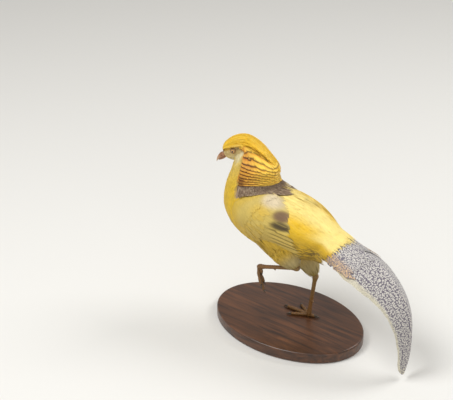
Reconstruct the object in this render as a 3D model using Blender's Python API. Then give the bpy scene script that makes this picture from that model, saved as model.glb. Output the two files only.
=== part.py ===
"""A golden pheasant cock of the yellow breed, walking with one foot raised, as a life-size still model on a plain plinth.

Metres, +Z up. The bird faces -X and its left side is -Y. The origin is the middle of the plinth's underside.
The trunk and neck are one loft through a few sections. Wings, cape, plumes and legs are placed on that loft,
by their place along it and their angle round it, so they follow any change to the sections.
"""

import math
import random

import bmesh
import bpy
import numpy as np
from mathutils import Matrix, Vector

for leftover in list(bpy.data.objects):
    bpy.data.objects.remove(leftover)
BIRD = bpy.data.collections.new("golden_pheasant")
bpy.context.scene.collection.children.link(BIRD)

random.seed(11)

CM = 0.01
MM = 0.001
GAP = 0.35 * MM  # the clearance between two nodes that touch
SIDES = {"left": 1, "right": -1}  # angles round the body grow towards the left

PLINTH_HALF_LENGTH = 13.0 * CM
PLINTH_HALF_WIDTH = 9.0 * CM
PLINTH_HEIGHT = 1.8 * CM
PLINTH_ROUNDING = 3.0 * MM

# Trunk and neck, from the tail's root to the nape, in cm and degrees:
# place along X, height, slope of the way forward, half width, rise to the back, drop to the belly
TRUNK = (
    (10.6, 17.8, 28, 1.4, 1.0, 1.5),
    (8.0, 18.4, 28, 2.4, 1.4, 4.0),
    (5.0, 19.0, 27, 3.7, 2.2, 5.9),
    (1.5, 19.4, 25, 4.7, 3.4, 6.5),
    (-2.2, 19.6, 27, 5.3, 4.1, 6.4),
    (-5.6, 20.3, 38, 5.4, 4.6, 5.8),
    (-7.7, 21.8, 58, 4.9, 4.8, 4.9),
    (-8.2, 24.0, 78, 4.2, 4.7, 3.7),
    (-7.9, 26.0, 92, 3.7, 4.3, 2.9),
    (-7.7, 28.0, 98, 2.9, 3.7, 2.4),
    (-7.9, 29.5, 104, 1.3, 1.9, 1.2),
)
TRUNK_RINGS = 20
TRUNK_SIDES = 20
NECK_PLACE = 0.685  # where the neck leaves the trunk, as a share of the way along the loft
NECK_SWAY = 0.4 * CM  # how far the head stands to the left of the trunk
HEAD_TURN = 25.0  # degrees to the left
HEAD_PITCH = 30.0  # degrees that the bill points down
HEAD_CENTRE = Vector((-10.5, -0.8, 29.15)) * CM  # midway between the eyes

# Skull with its short feathers, from the bill's root to the nape, in cm:
# place forward of the eyes, height, half width, rise to the crown, drop to the chin
SKULL = (
    (2.05, -0.20, 0.50, 0.42, 0.62),
    (1.75, -0.20, 0.80, 0.72, 1.05),
    (1.20, -0.20, 1.10, 1.12, 1.55),
    (0.50, -0.20, 1.36, 1.36, 1.85),
    (-0.40, -0.25, 1.55, 1.54, 1.95),
    (-1.40, -0.45, 1.65, 1.60, 1.90),
    (-2.40, -0.80, 1.55, 1.45, 1.70),
    (-3.10, -1.10, 1.10, 1.15, 1.20),
    (-3.50, -1.30, 0.50, 0.50, 0.55),
)


def smooth_rows(rows, places):
    """Rows of sizes read at places from 0 to 1, on one smooth curve through every row."""
    rows = np.asarray(rows, float)
    last = len(rows) - 1
    t = np.clip(np.atleast_1d(places), 0, 1) * last
    i = np.minimum(np.floor(t).astype(int), last - 1)
    f = (t - i)[:, None]
    ends = np.vstack([2 * rows[0] - rows[1], rows, 2 * rows[-1] - rows[-2]])
    a, b, c, d = ends[i], ends[i + 1], ends[i + 2], ends[i + 3]
    return 0.5 * (2 * b + (c - a) * f + (2 * a - 5 * b + 4 * c - d) * f**2 + (3 * b - a - 3 * c + d) * f**3)


def ease(t):
    """0 to 1 with soft ends."""
    t = np.clip(t, 0, 1)
    return t * t * (3 - 2 * t)


def body_point(place, angle, height=0.0):
    """A point over trunk or neck. The angle runs from the back, 0, over the left side, 90, to the belly, 180."""
    place, angle, height = np.broadcast_arrays(*(np.atleast_1d(np.asarray(v, float)) for v in (place, angle, height)))
    along, up, slope, half, rise, drop = smooth_rows(TRUNK, place).T
    slope, angle = np.radians(slope), np.radians(angle)
    towards_back = np.cos(angle)
    reach = np.where(towards_back > 0, rise, drop) * CM + height
    sway = NECK_SWAY * ease((place - NECK_PLACE) / (1 - NECK_PLACE))
    return np.stack(
        [
            along * CM + np.sin(slope) * towards_back * reach,
            -np.sin(angle) * (half * CM + height) - sway,
            up * CM + np.cos(slope) * towards_back * reach,
        ],
        axis=1,
    )


def head_frame():
    """The head's matrix: its X is forward along the bill, its Y to the bird's left and its Z to the crown."""
    turn, pitch = math.radians(HEAD_TURN), math.radians(HEAD_PITCH)
    forward = Vector((-math.cos(turn) * math.cos(pitch), -math.sin(turn) * math.cos(pitch), -math.sin(pitch)))
    left = Vector((math.sin(turn), -math.cos(turn), 0))
    frame = Matrix((forward, left, forward.cross(left))).transposed().to_4x4()
    return Matrix.Translation(HEAD_CENTRE) @ frame


def skull_point(place, angle, height=0.0):
    """A point over the skull in the head's own frame. The angle runs from the crown over the left side."""
    place, angle, height = np.broadcast_arrays(*(np.atleast_1d(np.asarray(v, float)) for v in (place, angle, height)))
    forward, up, half, rise, drop = smooth_rows(SKULL, place).T * CM
    angle = np.radians(angle)
    reach = np.where(np.cos(angle) > 0, rise, drop) + height
    return np.stack([forward, np.sin(angle) * (half + height), up + np.cos(angle) * reach], axis=1)


def rings_on(surface, places, sides, height=0.0):
    """One ring of points round a surface at each place."""
    angles = np.arange(sides) * 360.0 / sides
    return [surface(np.full(sides, p), angles, height) for p in places]


def loft(rings):
    """A closed mesh through rings of as many points each, with a flat cap at both ends."""
    shape = bmesh.new()
    rows = [[shape.verts.new(p) for p in ring] for ring in rings]
    count = len(rows[0])
    for low, high in zip(rows, rows[1:]):
        for i in range(count):
            j = (i + 1) % count
            shape.faces.new((low[i], low[j], high[j], high[i]))
    shape.faces.new(rows[0][::-1])
    shape.faces.new(rows[-1])
    bmesh.ops.recalc_face_normals(shape, faces=shape.faces)
    return shape


def paint(name, colour, roughness, metallic=0.0):
    material = bpy.data.materials.new(name)
    material.use_nodes = True
    shader = material.node_tree.nodes["Principled BSDF"]
    shader.inputs["Base Color"].default_value = (*colour, 1)
    shader.inputs["Roughness"].default_value = roughness
    shader.inputs["Metallic"].default_value = metallic
    return material


PAINTS = {
    "plinth": paint("stained_beech", (0.10, 0.055, 0.03), 0.45),
    "lemon": paint("lemon_yellow_feathers", (0.80, 0.58, 0.07), 0.6),
    "gold": paint("golden_crest_feathers", (0.86, 0.52, 0.06), 0.45),
    "amber": paint("amber_cape_feathers", (0.80, 0.33, 0.05), 0.55),
    "cream": paint("cream_and_taupe_wing_feathers", (0.55, 0.42, 0.22), 0.6),
    "silver": paint("silver_white_tail_feathers", (0.58, 0.55, 0.50), 0.6),
    "horn": paint("pinkish_horn", (0.55, 0.36, 0.24), 0.35),
    "scales": paint("olive_amber_scales", (0.36, 0.24, 0.10), 0.4),
    "eye": paint("glass_eye", (0.45, 0.22, 0.06), 0.08),
}


def slab(top, bottom):
    """A closed mesh between two grids of points, with its cells split alike on both faces."""
    shape = bmesh.new()
    rows, columns = len(top), len(top[0])
    over = [[shape.verts.new(p) for p in row] for row in top]
    under = [[shape.verts.new(p) for p in row] for row in bottom]
    for i in range(rows - 1):
        for j in range(columns - 1):
            corners = ((i, j), (i + 1, j), (i + 1, j + 1), (i, j + 1))
            for side, turn in ((over, 1), (under, -1)):
                a, b, c, d = (side[m][n] for m, n in corners)
                shape.faces.new((a, b, c)[::turn])
                shape.faces.new((a, c, d)[::turn])
    rim = [(i, 0) for i in range(rows)] + [(rows - 1, j) for j in range(1, columns)]
    rim += [(i, columns - 1) for i in range(rows - 2, -1, -1)] + [(0, j) for j in range(columns - 2, 0, -1)]
    for (i, j), (m, n) in zip(rim, rim[1:] + rim[:1]):
        shape.faces.new((over[i][j], under[i][j], under[m][n]))
        shape.faces.new((over[i][j], under[m][n], over[m][n]))
    bmesh.ops.recalc_face_normals(shape, faces=shape.faces)
    return shape


def sweep(path, radii, sides, flat=1.0, up=(0, 0, 1)):
    """A tube along a path, round or flattened along the up way, with a flat cap at both ends."""
    path = [Vector(p) for p in path]
    rings = []
    for i, (point, radius) in enumerate(zip(path, radii)):
        way = (path[min(i + 1, len(path) - 1)] - path[max(i - 1, 0)]).normalized()
        across = way.cross(Vector(up)).normalized()
        over = across.cross(way)
        turns = (2 * math.pi * k / sides for k in range(sides))
        rings.append([point + across * radius * math.cos(a) + over * radius * flat * math.sin(a) for a in turns])
    return loft(rings)


def to_world(frame, points):
    """Points in a frame, as an array, as places in the world."""
    frame = np.array(frame)
    return np.asarray(points) @ frame[:3, :3].T + frame[:3, 3]


FEATHER = ((0, 0.57, 1), (0.6, 1, 0.42))
LOCK = ((0, 0.45, 1), (0.7, 1, 0.14))


def vane(surface, root, tip, width, lift, tilt=0.0, thick=0.6 * MM, rows=3, columns=3, outline=FEATHER, sag=0.0):
    """A vane laid on a surface from its root to its tip, both given as places on that surface.

    Lift is its height over the surface along its length, tilt raises one edge and lowers the other,
    and sag lowers both edges.
    """
    along, across = np.linspace(0, 1, rows) ** 0.8, np.linspace(-1, 1, columns)
    root, tip = np.array(root, float), np.array(tip, float)
    centre = root + np.outer(along, tip - root)
    step = 0.002
    here = surface(*centre.T, 0)
    spans = [np.linalg.norm(surface(*(centre + step * np.eye(2)[i]).T, 0) - here, axis=1) / step for i in (0, 1)]
    spans = np.maximum(np.stack(spans, axis=1), 1e-4)
    way = (tip - root) * spans
    way /= np.linalg.norm(way, axis=1)[:, None]
    half = width / 2 * np.interp(along, *outline)
    side = np.stack([-way[:, 1], way[:, 0]], axis=1) / spans
    grid = centre[:, None] + side[:, None] * (half[:, None] * across)[:, :, None]
    height = np.interp(along, np.linspace(0, 1, len(lift)) ** 0.8, lift)[:, None]
    height = height + tilt * across - sag * (across * half[:, None]) ** 2
    shell = (thick * (1 - 0.35 * along) / 2)[:, None] + 0 * height
    faces = [
        surface(grid[..., 0].ravel(), grid[..., 1].ravel(), (height + way_out * shell).ravel())
        for way_out in (1, -1)
    ]
    return slab(*(face.reshape(rows, columns, 3) for face in faces))


def ball(centre, radius, across):
    shape = bmesh.new()
    bmesh.ops.create_uvsphere(shape, u_segments=across, v_segments=across // 2, radius=radius)
    bmesh.ops.translate(shape, verts=shape.verts, vec=centre)
    return shape


def largest_only(shape):
    """Drop all but the closed surface of the largest volume."""
    left, pieces = set(shape.faces), []
    while left:
        piece, edge = set(), [left.pop()]
        while edge:
            face = edge.pop()
            piece.add(face)
            near = {other for side in face.edges for other in side.link_faces} & left
            left -= near
            edge.extend(near)
        volume = 0.0
        for face in piece:
            first, *rest = (v.co for v in face.verts)
            volume += sum(first.dot(b.cross(c)) for b, c in zip(rest, rest[1:]))
        pieces.append((abs(volume), piece))
    pieces.sort(key=lambda entry: entry[0])
    spare = [face for _, piece in pieces[:-1] for face in piece]
    bmesh.ops.delete(shape, geom=spare, context="FACES")
    bmesh.ops.delete(shape, geom=[v for v in shape.verts if not v.link_faces], context="VERTS")


def as_object(name, shape):
    mesh = bpy.data.meshes.new(name)
    bmesh.ops.triangulate(shape, faces=[face for face in shape.faces if len(face.verts) > 3])
    shape.to_mesh(mesh)
    shape.free()
    item = bpy.data.objects.new(name, mesh)
    BIRD.objects.link(item)
    return item


def combined(shape, others, operation):
    """The shape joined with, or cut by, other closed shapes, as one closed mesh."""
    if not others:
        return shape
    base = as_object("base", shape)
    group = bpy.data.collections.new("operands")
    bpy.context.scene.collection.children.link(group)
    for other in others:
        item = as_object("operand", other)
        BIRD.objects.unlink(item)
        group.objects.link(item)
    modifier = base.modifiers.new("combine", "BOOLEAN")
    modifier.operation = operation
    modifier.operand_type = "COLLECTION"
    modifier.collection = group
    modifier.solver = "EXACT"
    result = bmesh.new()
    result.from_mesh(base.evaluated_get(bpy.context.evaluated_depsgraph_get()).to_mesh())
    for item in [*group.objects, base]:
        bpy.data.objects.remove(item)
    bpy.data.collections.remove(group)
    bmesh.ops.remove_doubles(result, verts=result.verts, dist=0.002 * MM)
    bmesh.ops.dissolve_degenerate(result, edges=result.edges, dist=0.001 * MM)
    largest_only(result)
    bmesh.ops.dissolve_limit(result, angle_limit=math.radians(0.4), verts=result.verts, edges=result.edges)
    return result


def node(name, shape, colour):
    """Make one named part of the bird."""
    item = as_object(name, shape)
    item.data.materials.append(PAINTS[colour])
    item.data.polygons.foreach_set("use_smooth", [True] * len(item.data.polygons))
    return item


HEAD = head_frame()
COLLAR_HEIGHT = 24.45 * CM  # the level at which the neck leaves the torso
EYE_RADIUS = 5.0 * MM
EYE_SIDE = 1.11 * CM  # an eye's middle, sideways from the middle of the head
LID_SIDE = 1.42 * CM  # the middle of the lids' ring, which lies in the skull's side


def cut_flat(shape, height, keep_above):
    """Keep what is above or below a level, closed with a flat face."""
    cut = bmesh.ops.bisect_plane(
        shape,
        geom=[*shape.verts, *shape.edges, *shape.faces],
        dist=0.001 * MM,
        plane_co=(0, 0, height),
        plane_no=(0, 0, 1),
        clear_outer=not keep_above,
        clear_inner=keep_above,
    )
    edges = [item for item in cut["geom_cut"] if isinstance(item, bmesh.types.BMEdge)]
    bmesh.ops.holes_fill(shape, edges=edges)
    bmesh.ops.recalc_face_normals(shape, faces=shape.faces)
    return shape


def trunk(extra=0.0):
    """Trunk and neck in one, larger all round by extra."""
    return loft(rings_on(body_point, np.linspace(0, 1, TRUNK_RINGS + 1), TRUNK_SIDES, extra))


def skull(extra=0.0):
    shape = loft(rings_on(skull_point, np.linspace(0, 1, 12), 16, extra))
    shape.transform(HEAD)
    return shape


def make_plinth():
    rings = []
    half_turns = np.linspace(0, 2 * np.pi, 36, endpoint=False)
    for turn in np.radians((0, 45, 90, 90, 45, 0)):
        inset = PLINTH_ROUNDING * (1 - math.sin(turn))
        lift = PLINTH_ROUNDING * (1 - math.cos(turn))
        low = len(rings) < 3
        height = lift if low else PLINTH_HEIGHT - lift
        rings.append(
            [
                ((PLINTH_HALF_LENGTH - inset) * math.cos(a), (PLINTH_HALF_WIDTH - inset) * math.sin(a), height)
                for a in half_turns
            ]
        )
    node("stand_base", loft(rings), "plinth")


RUMP_ROWS = 5
RUMP_LENGTH = 0.11  # of a rump plume, as a share of the way along the loft


def rump_plumes():
    """Long loose plumes over the rump and down its sides, from behind the wings to the tail."""
    plumes = []
    for row in range(RUMP_ROWS):
        count = 6 - row // 3
        for index in range(count):
            angle = -128 + 256 * (index + 0.25 + 0.5 * (row % 2)) / count
            front = np.interp(abs(angle), *zip(*WING_REAR)) - 0.025
            if abs(angle) > 100:
                front = min(front, 0.17)
            start = front + (0.10 - front) * row / (RUMP_ROWS - 1)
            lift = np.array((-1.3, 2.2, 4.2 + 0.6 * (index % 2))) * MM
            droop = angle * (1.12 + random.uniform(-0.04, 0.04))
            length = RUMP_LENGTH * random.uniform(0.9, 1.05)
            ends = ((start, angle), (max(start - length, 0.015), droop))
            plumes.append(vane(body_point, *ends, 1.6 * CM, lift, columns=2, outline=LOCK, thick=0.7 * MM))
    return plumes


def make_torso():
    torso = cut_flat(trunk(), COLLAR_HEIGHT, False)
    node("torso", combined(torso, rump_plumes(), "UNION"), "lemon")


CAPE_ROWS = 6
CAPE_LENGTH = 0.10  # of a cape feather, as a share of the way along the loft
CAPE_FRONT = 84.0  # the cape's front edge on each side, in degrees round from the back


def cape_hem(angle):
    """Where the cape's lower edge lies along the loft: lowest down the middle of the back."""
    return 0.60 + 0.12 * ease(abs(angle) / 70)


def cape():
    """Broad feathers round the back and sides of the neck, in rows that close up towards the throat."""
    feathers = []
    for row in range(CAPE_ROWS):
        share = row / (CAPE_ROWS - 1)
        count = 6 + row % 2
        step = 2 * CAPE_FRONT / count
        for index in range(count):
            angle = -CAPE_FRONT + step * (index + 0.5)
            start = 0.995 + (cape_hem(angle) + CAPE_LENGTH - 0.995) * share
            covered = abs(angle) < 40 and start > 0.9
            middle = start - 0.5 * CAPE_LENGTH
            if covered or under_skull(body_point(middle, angle, 2 * MM)[0]):
                continue
            high = (index % 2 - 0.5) * 1.5 * MM
            arc = np.linalg.norm(np.ptp(body_point(middle, (angle - 0.5, angle + 0.5)), axis=0))
            lift = np.array((-1.2, 1.9, 4.0)) * MM + high * np.array((0.2, 1, 1))
            ends = ((start, angle), (start - CAPE_LENGTH, angle))
            feathers.append(vane(body_point, *ends, 1.2 * step * arc, lift, sag=2.0))
    return feathers


def under_skull(point):
    """Whether a point lies within the head or just over it."""
    forward, side, up = HEAD.inverted() @ Vector(point)
    rows = np.array(SKULL)
    middle, half, rise, drop = (np.interp(-forward / CM, -rows[:, 0], rows[:, i]) * CM for i in (1, 2, 3, 4))
    reach = rise if up > middle else drop
    return forward > -3.6 * CM and (side / half) ** 2 + ((up - middle) / reach) ** 2 < 1


def make_neck():
    neck = combined(cut_flat(trunk(), COLLAR_HEIGHT + GAP, True), cape(), "UNION")
    node("neck", combined(neck, [skull(GAP)], "DIFFERENCE"), "amber")


def eye_place(side):
    return HEAD @ Vector((0, side * EYE_SIDE, 0))


def eye_lid(side):
    """A low round swelling about the eye. The socket's cut leaves its rim as the lids."""
    lid = ball((0, 0, 0), 4.5 * MM, 14)
    for vertex in lid.verts:
        vertex.co = (vertex.co.x * 1.08, vertex.co.z * 0.33, vertex.co.y * 0.95)
    lid.transform(HEAD @ Matrix.Translation((0, side * LID_SIDE, 0)) @ Matrix.Rotation(-0.2 * side, 4, "Z"))
    bmesh.ops.recalc_face_normals(lid, faces=lid.faces)
    return lid


def mouth_corner(side):
    """A groove that carries the line of the mouth from the bill back under the cheek."""
    path = [HEAD @ (Vector((x, side * y, z)) * CM) for x, y, z in ((2.3, 0.40, -0.48), (1.95, 0.66, -0.56), (1.6, 0.97, -0.74))]
    return sweep(path, (0.5 * MM, 0.5 * MM, 0.25 * MM), 6)


def make_head():
    head = combined(skull(), crest() + [eye_lid(side) for side in SIDES.values()], "UNION")
    sockets = [ball(eye_place(side), EYE_RADIUS + GAP, 14) for side in SIDES.values()]
    corners = [mouth_corner(side) for side in SIDES.values()]
    node("head", combined(head, sockets + corners, "DIFFERENCE"), "gold")
    for name, side in SIDES.items():
        node(f"eye_{name}", ball(eye_place(side), EYE_RADIUS, 14), "eye")


def over_crown(along, across, height=0.0):
    """Points over the crown and on down the back of the neck, from the brow, 0, to the crest's end, 1."""
    along, across, height = np.broadcast_arrays(*(np.atleast_1d(np.asarray(v, float)) for v in (along, across, height)))
    share = ease((along - 0.42) / 0.22)[:, None]
    height = height + CREST_SWELL * 4 * (share * (1 - share))[:, 0]
    on_skull = to_world(HEAD, skull_point(0.06 + 1.64 * np.minimum(along, 0.5), across * 62, height))
    on_neck = body_point(1.0 - 0.34 * np.maximum(along - 0.35, 0) / 0.65, across * 30, height)
    return on_skull * (1 - share) + on_neck * share


CREST_SWELL = 5 * MM  # how far the crest stands out where it passes from the crown to the neck
CREST_TIERS = ((0.02, 0.44), (0.12, 0.58), (0.24, 0.72))  # where each tier starts and ends


def crest():
    """Long silky locks from the brow, the crown and the nape, each tier over the next, out over the cape."""
    locks = []
    for tier, (start, end) in enumerate(CREST_TIERS):
        count = 5 + tier % 2
        for index in range(count):
            across = 0.96 * (2 * index / (count - 1) - 1)
            ends = ((start + 0.06 * abs(across), across), (end - 0.1 * across**2, across * 0.95))
            rows = 5 + (tier + 1) // 2
            along = np.linspace(ends[0][0], ends[1][0], rows)
            clear = np.interp(along, (0, 0.3, 0.52, 1), (0.5, 1.4, 7.8, 6.8)) + (2 - tier) * 1.7 + 0.85 * (index % 2)
            lift = np.minimum(clear, np.interp(np.linspace(0, 1, rows), (0, 0.2, 1), (-0.9, 3.0, 15))) * MM
            locks.append(vane(over_crown, *ends, 8 * MM, lift, rows=rows, columns=2, outline=LOCK, thick=0.65 * MM))
    return locks


# Bill, in cm in the head's frame: forward, height of the edge between the halves, half width, rise or drop
UPPER_BILL = (
    (2.085, -0.46, 0.46, 0.62),
    (2.45, -0.50, 0.40, 0.74),
    (2.85, -0.54, 0.33, 0.66),
    (3.25, -0.60, 0.24, 0.50),
    (3.60, -0.70, 0.14, 0.30),
    (3.86, -0.86, 0.04, 0.10),
)
LOWER_BILL = (
    (2.085, -0.52, 0.43, 0.30),
    (2.45, -0.56, 0.36, 0.34),
    (2.85, -0.61, 0.28, 0.30),
    (3.20, -0.67, 0.18, 0.20),
    (3.45, -0.74, 0.07, 0.08),
)


def bill_half(rows, way):
    """Half a bill: arched on one side, up or down, and flat on the other."""
    rings = []
    for forward, level, half, reach in smooth_rows(rows, np.linspace(0, 1, 8)):
        arch = [math.radians(a) for a in range(0, 181, 20)]
        ring = [(forward, half * math.cos(a), level + way * reach * math.sin(a) ** 0.9) for a in arch]
        ring += [(forward, half * share, level) for share in (-0.4, 0.4)]
        rings.append([HEAD @ (Vector(p) * CM) for p in ring])
    return loft(rings)


def nostril(side):
    """A long pit near the root of the upper half of the bill."""
    pit = ball((0, 0, 0), 1.0 * MM, 8)
    for vertex in pit.verts:
        vertex.co = (vertex.co.x * 1.9, vertex.co.y * 0.9, vertex.co.z * 0.6)
    pit.transform(HEAD @ Matrix.Translation(Vector((2.55, side * 0.37, -0.22)) * CM) @ Matrix.Rotation(0.25, 4, "Y"))
    return pit


def make_bill():
    upper = combined(bill_half(UPPER_BILL, 1), [nostril(side) for side in SIDES.values()], "DIFFERENCE")
    node("bill_upper", upper, "horn")
    node("bill_lower", bill_half(LOWER_BILL, -1), "horn")


WING_REAR = ((12, 0.40), (24, 0.36), (38, 0.33), (64, 0.29), (90, 0.25), (108, 0.21), (130, 0.17))
WING_FRONT = ((12, 0.52), (24, 0.575), (38, 0.60), (64, 0.61), (84, 0.595), (98, 0.55), (112, 0.46))


def wing_plate(side, room=0.0):
    """The arm and the roots of its feathers, as a plate over the side. Room makes it a cutter for the whole wing."""
    angles = np.linspace(16, 145 if room else 110, 8)
    rear = 0.13 if room else 0.40
    top, bottom = [], []
    for share in np.linspace(0, 1, 10 if room else 6):
        places = rear + (np.interp(angles, *zip(*WING_FRONT)) - rear) * share
        edge = (angles == angles[0]) | (angles == angles[-1]) | (share in (0, 1))
        thick = np.where(edge, 0.9, 1.8) * MM
        top.append(body_point(places, side * angles, GAP + thick + 24 * room))
        bottom.append(body_point(places, side * angles, -0.8 * MM - 6 * room))
    return slab(top, bottom)


# Tiers of a wing's feathers: how many, roots from the first to the last, tips from the first to the last,
# each as place and angle, with the width in cm and the height at root, middle and tip in mm
WING_TIERS = (
    (3, (0.43, 106), (0.44, 98), (0.185, 131), (0.20, 112), 1.5, (0.5, 1.2, 1.3)),
    (5, (0.48, 102), (0.45, 20), (0.21, 108), (0.385, 16), 2.5, (0.6, 2.1, 2.5)),
    (4, (0.545, 102), (0.50, 22), (0.425, 108), (0.42, 20), 2.9, (0.8, 3.4, 4.0)),
    (4, (0.575, 90), (0.565, 28), (0.495, 100), (0.48, 26), 2.8, (0.0, 3.9, 5.0)),
)


def wing_feathers(side):
    """Flight feathers and their coverts in tiers, the primaries lowest and each covert tier over the last."""
    feathers = []
    for count, first_root, last_root, first_tip, last_tip, width, lift in WING_TIERS:
        for index in range(count):
            share = index / (count - 1)
            place, angle = np.array(first_root) * (1 - share) + np.array(last_root) * share
            tip_place, tip_angle = np.array(first_tip) * (1 - share) + np.array(last_tip) * share
            tip_place += 0.012 * (index % 2)
            if count == 5:
                tip_place = np.interp(tip_angle, *zip(*WING_REAR)) + 0.006 * (index % 2)
            lifts = np.array(lift) * MM + 0.75 * MM
            ends = ((place, side * angle), (tip_place, side * tip_angle))
            rows = 4 if tip_place < 0.4 else 3
            tilt = side * 0.75 * MM
            feathers.append(vane(body_point, *ends, width * CM, lifts, tilt=tilt, sag=0.6, rows=rows))
    return feathers


def make_wings():
    for name, side in SIDES.items():
        wing = combined(wing_plate(side), wing_feathers(side), "UNION")
        node(f"wing_{name}", combined(wing, [trunk(GAP)], "DIFFERENCE"), "cream")


# Ridge of the tail, from the torso to the tip, in cm and degrees:
# place along X, sideways, height, slope down, half width, drop from the ridge to the edge
TAIL = (
    (10.6, 0.0, 18.75, 24, 2.5, 1.5),
    (13.3, 0.0, 18.4, 26, 3.2, 1.9),
    (16.0, 0.0, 17.4, 36, 3.3, 1.9),
    (18.7, -0.1, 15.5, 46, 3.0, 1.8),
    (20.9, -0.2, 13.0, 58, 2.6, 1.6),
    (22.2, -0.3, 10.0, 72, 2.2, 1.3),
    (22.6, -0.5, 6.9, 84, 1.7, 1.0),
    (22.6, -0.8, 3.8, 92, 1.2, 0.7),
    (22.2, -1.2, 1.0, 96, 0.6, 0.3),
)


def tail_point(place, across, height=0.0):
    """Points of the tail's roof. Across runs from the left edge, -1, over the ridge to the right edge, 1."""
    place, across, height = np.broadcast_arrays(*(np.atleast_1d(np.asarray(v, float)) for v in (place, across, height)))
    along, sideways, ridge, slope, half, drop = smooth_rows(TAIL, place).T
    slope = np.radians(slope)
    below = drop * CM * np.abs(across) - height
    return np.stack(
        [
            along * CM - np.sin(slope) * below,
            (sideways + across * half) * CM,
            ridge * CM - np.cos(slope) * below,
        ],
        axis=1,
    )


# Tail feathers of one side, from the middle pair outwards: where the middle of the vane lies across the roof
# at its root and tip, how far it reaches in rows, its width in cm and its depth under the roof in mm
TAIL_ROWS = 14
TAIL_FEATHERS = (
    (0.36, 0.34, 14, 3.0, 0.0),
    (0.56, 0.62, 11, 2.7, 1.05),
    (0.62, 0.76, 8, 2.5, 2.1),
    (0.68, 0.90, 6, 2.3, 3.15),
)
BLADE = ((0, 0.12, 0.4, 0.75, 0.92, 1), (0.55, 0.95, 1, 0.72, 0.5, 0.22))


def tail_feathers():
    """Long blades in graded pairs, the middle pair uppermost, bent along the tail's roof."""
    blades = []
    for side in SIDES.values():
        for root, tip, reach, width, depth in TAIL_FEATHERS:
            deep = -(depth + 0.8 + (1.05 if side < 0 else 0)) * MM
            along, across = np.linspace(0, 1, reach + 1), np.linspace(-1, 1, 3)
            place = along * reach / TAIL_ROWS
            roof = smooth_rows(TAIL, place)[:, 4]
            middle = root + (tip - root) * along
            half = width / 2 * np.interp(along, *BLADE) / np.maximum(roof, 0.8)
            inner = np.maximum(middle - half, -0.02)
            spread = -side * (inner[:, None] + (middle + half - inner)[:, None] * (across + 1) / 2)
            shell = np.interp(along, (0, 0.8, 1), (0.75, 0.65, 0.5))[:, None] * MM / 2
            places = np.repeat(place, 3)
            faces = [
                tail_point(places, spread.ravel(), (deep + way_out * shell + 0 * spread).ravel()).reshape(-1, 3, 3)
                for way_out in (1, -1)
            ]
            blades.append(slab(*faces))
    return blades


def tail_root():
    """The flesh that carries the tail, its front face against the torso's end."""
    rings = []
    back = Vector((math.cos(math.radians(28)), 0, -math.sin(math.radians(28))))
    first = [Vector(p) + back * GAP for p in body_point(0, np.arange(20) * 18.0)]
    middle = sum(first, Vector()) / len(first)
    for step, scale in ((0, 1.0), (1.0 * CM, 0.96), (1.9 * CM, 0.8), (2.4 * CM, 0.45)):
        drop = Vector((0, 0, -1)) * step * 0.02
        rings.append([middle + (p - middle) * scale + back * step + drop for p in first])
    return loft(rings)


def make_tail():
    tail = combined(tail_root(), tail_feathers(), "UNION")
    node("tail", combined(tail, [trunk(GAP)], "DIFFERENCE"), "silver")


# Legs, in cm: knee (inside the torso), hock, toes' root
LEGS = {
    "left": ((-0.2, -2.6, 16.2), (3.0, -2.6, 13.2), (-3.9, -2.4, 10.8)),
    "right": ((-1.4, 3.1, 15.0), (3.2, 2.4, 9.4), (2.5, 2.0, 2.6)),
}


def in_cm(point):
    return Vector(point) * CM


def make_thigh(name):
    knee, hock, _ = (in_cm(p) for p in LEGS[name])
    path = [knee.lerp(hock, t) for t in (0, 0.25, 0.5, 0.72, 0.88, 1.0)]
    radii = [r * CM for r in (2.3, 2.25, 1.85, 1.35, 0.95, 0.62)]
    thigh = sweep(path, radii, 16, up=(0, 1, 0))
    cutters = [trunk(GAP), shank(name, GAP), wing_plate(SIDES[name], GAP)]
    node(f"thigh_{name}", combined(thigh, cutters, "DIFFERENCE"), "lemon")


SCUTES = 9  # raised plates down the front of a shank
SCUTE_STEP = 0.45 * MM


def shank_axes(name):
    """A shank's hock, its length, and its ways down, to its front and across."""
    _, hock, root = (in_cm(p) for p in LEGS[name])
    way = (root - hock).normalized()
    front = way.cross(Vector((0, 1, 0))).normalized()
    if front.x > 0:
        front = -front
    return hock, (root - hock).length, way, front, way.cross(front)


def shank(name, extra=0.0):
    """The scaled shank with its knobbed hock and a column of raised plates in front, larger all round by extra."""
    hock, long, way, front, side = shank_axes(name)
    heights = [-4.0 * MM - extra, -1.5 * MM, 2.0 * MM, 6.0 * MM]
    steps = [0.0] * 4
    for plate in np.linspace(17 * MM, long - 8 * MM, SCUTES):
        heights += [plate - 0.5 * MM, plate]
        steps += [SCUTE_STEP, 0.0]
    heights += [long - 2 * MM, long + extra]
    steps += [0.0, 0.0]
    rings = []
    for height, step in zip(heights, steps):
        places = (-4 * MM, -1.5 * MM, 2 * MM, 6 * MM, 11 * MM, long / 2, long - 8 * MM, long - 2 * MM, long)
        radius = np.interp(height, places, np.array((3.4, 5.0, 5.2, 4.0, 3.4, 3.1, 3.2, 3.9, 4.2)) * MM) + extra
        ring = []
        for turn in np.radians(np.arange(10) * 36.0):
            reach = radius + step * max(math.cos(turn) * 1.4, 0)
            ring.append(hock + way * height + front * reach * math.cos(turn) + side * reach * math.sin(turn))
        rings.append(ring)
    return loft(rings)


def spur(name):
    """A short blunt spur behind the shank, on its inner side."""
    hock, long, way, front, side = shank_axes(name)
    start = hock + way * long * 0.66
    inward = side if side.y * SIDES[name] > 0 else -side
    out = (inward * 0.45 - front).normalized()
    ridge = [start + out * s * MM for s in (0, 4.5, 7.5)]
    return sweep(ridge, (1.9 * MM, 1.5 * MM, 0.5 * MM), 6, up=way)


def make_shank(name):
    node(f"tarsus_{name}", combined(shank(name), [spur(name)], "UNION"), "scales")


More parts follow.
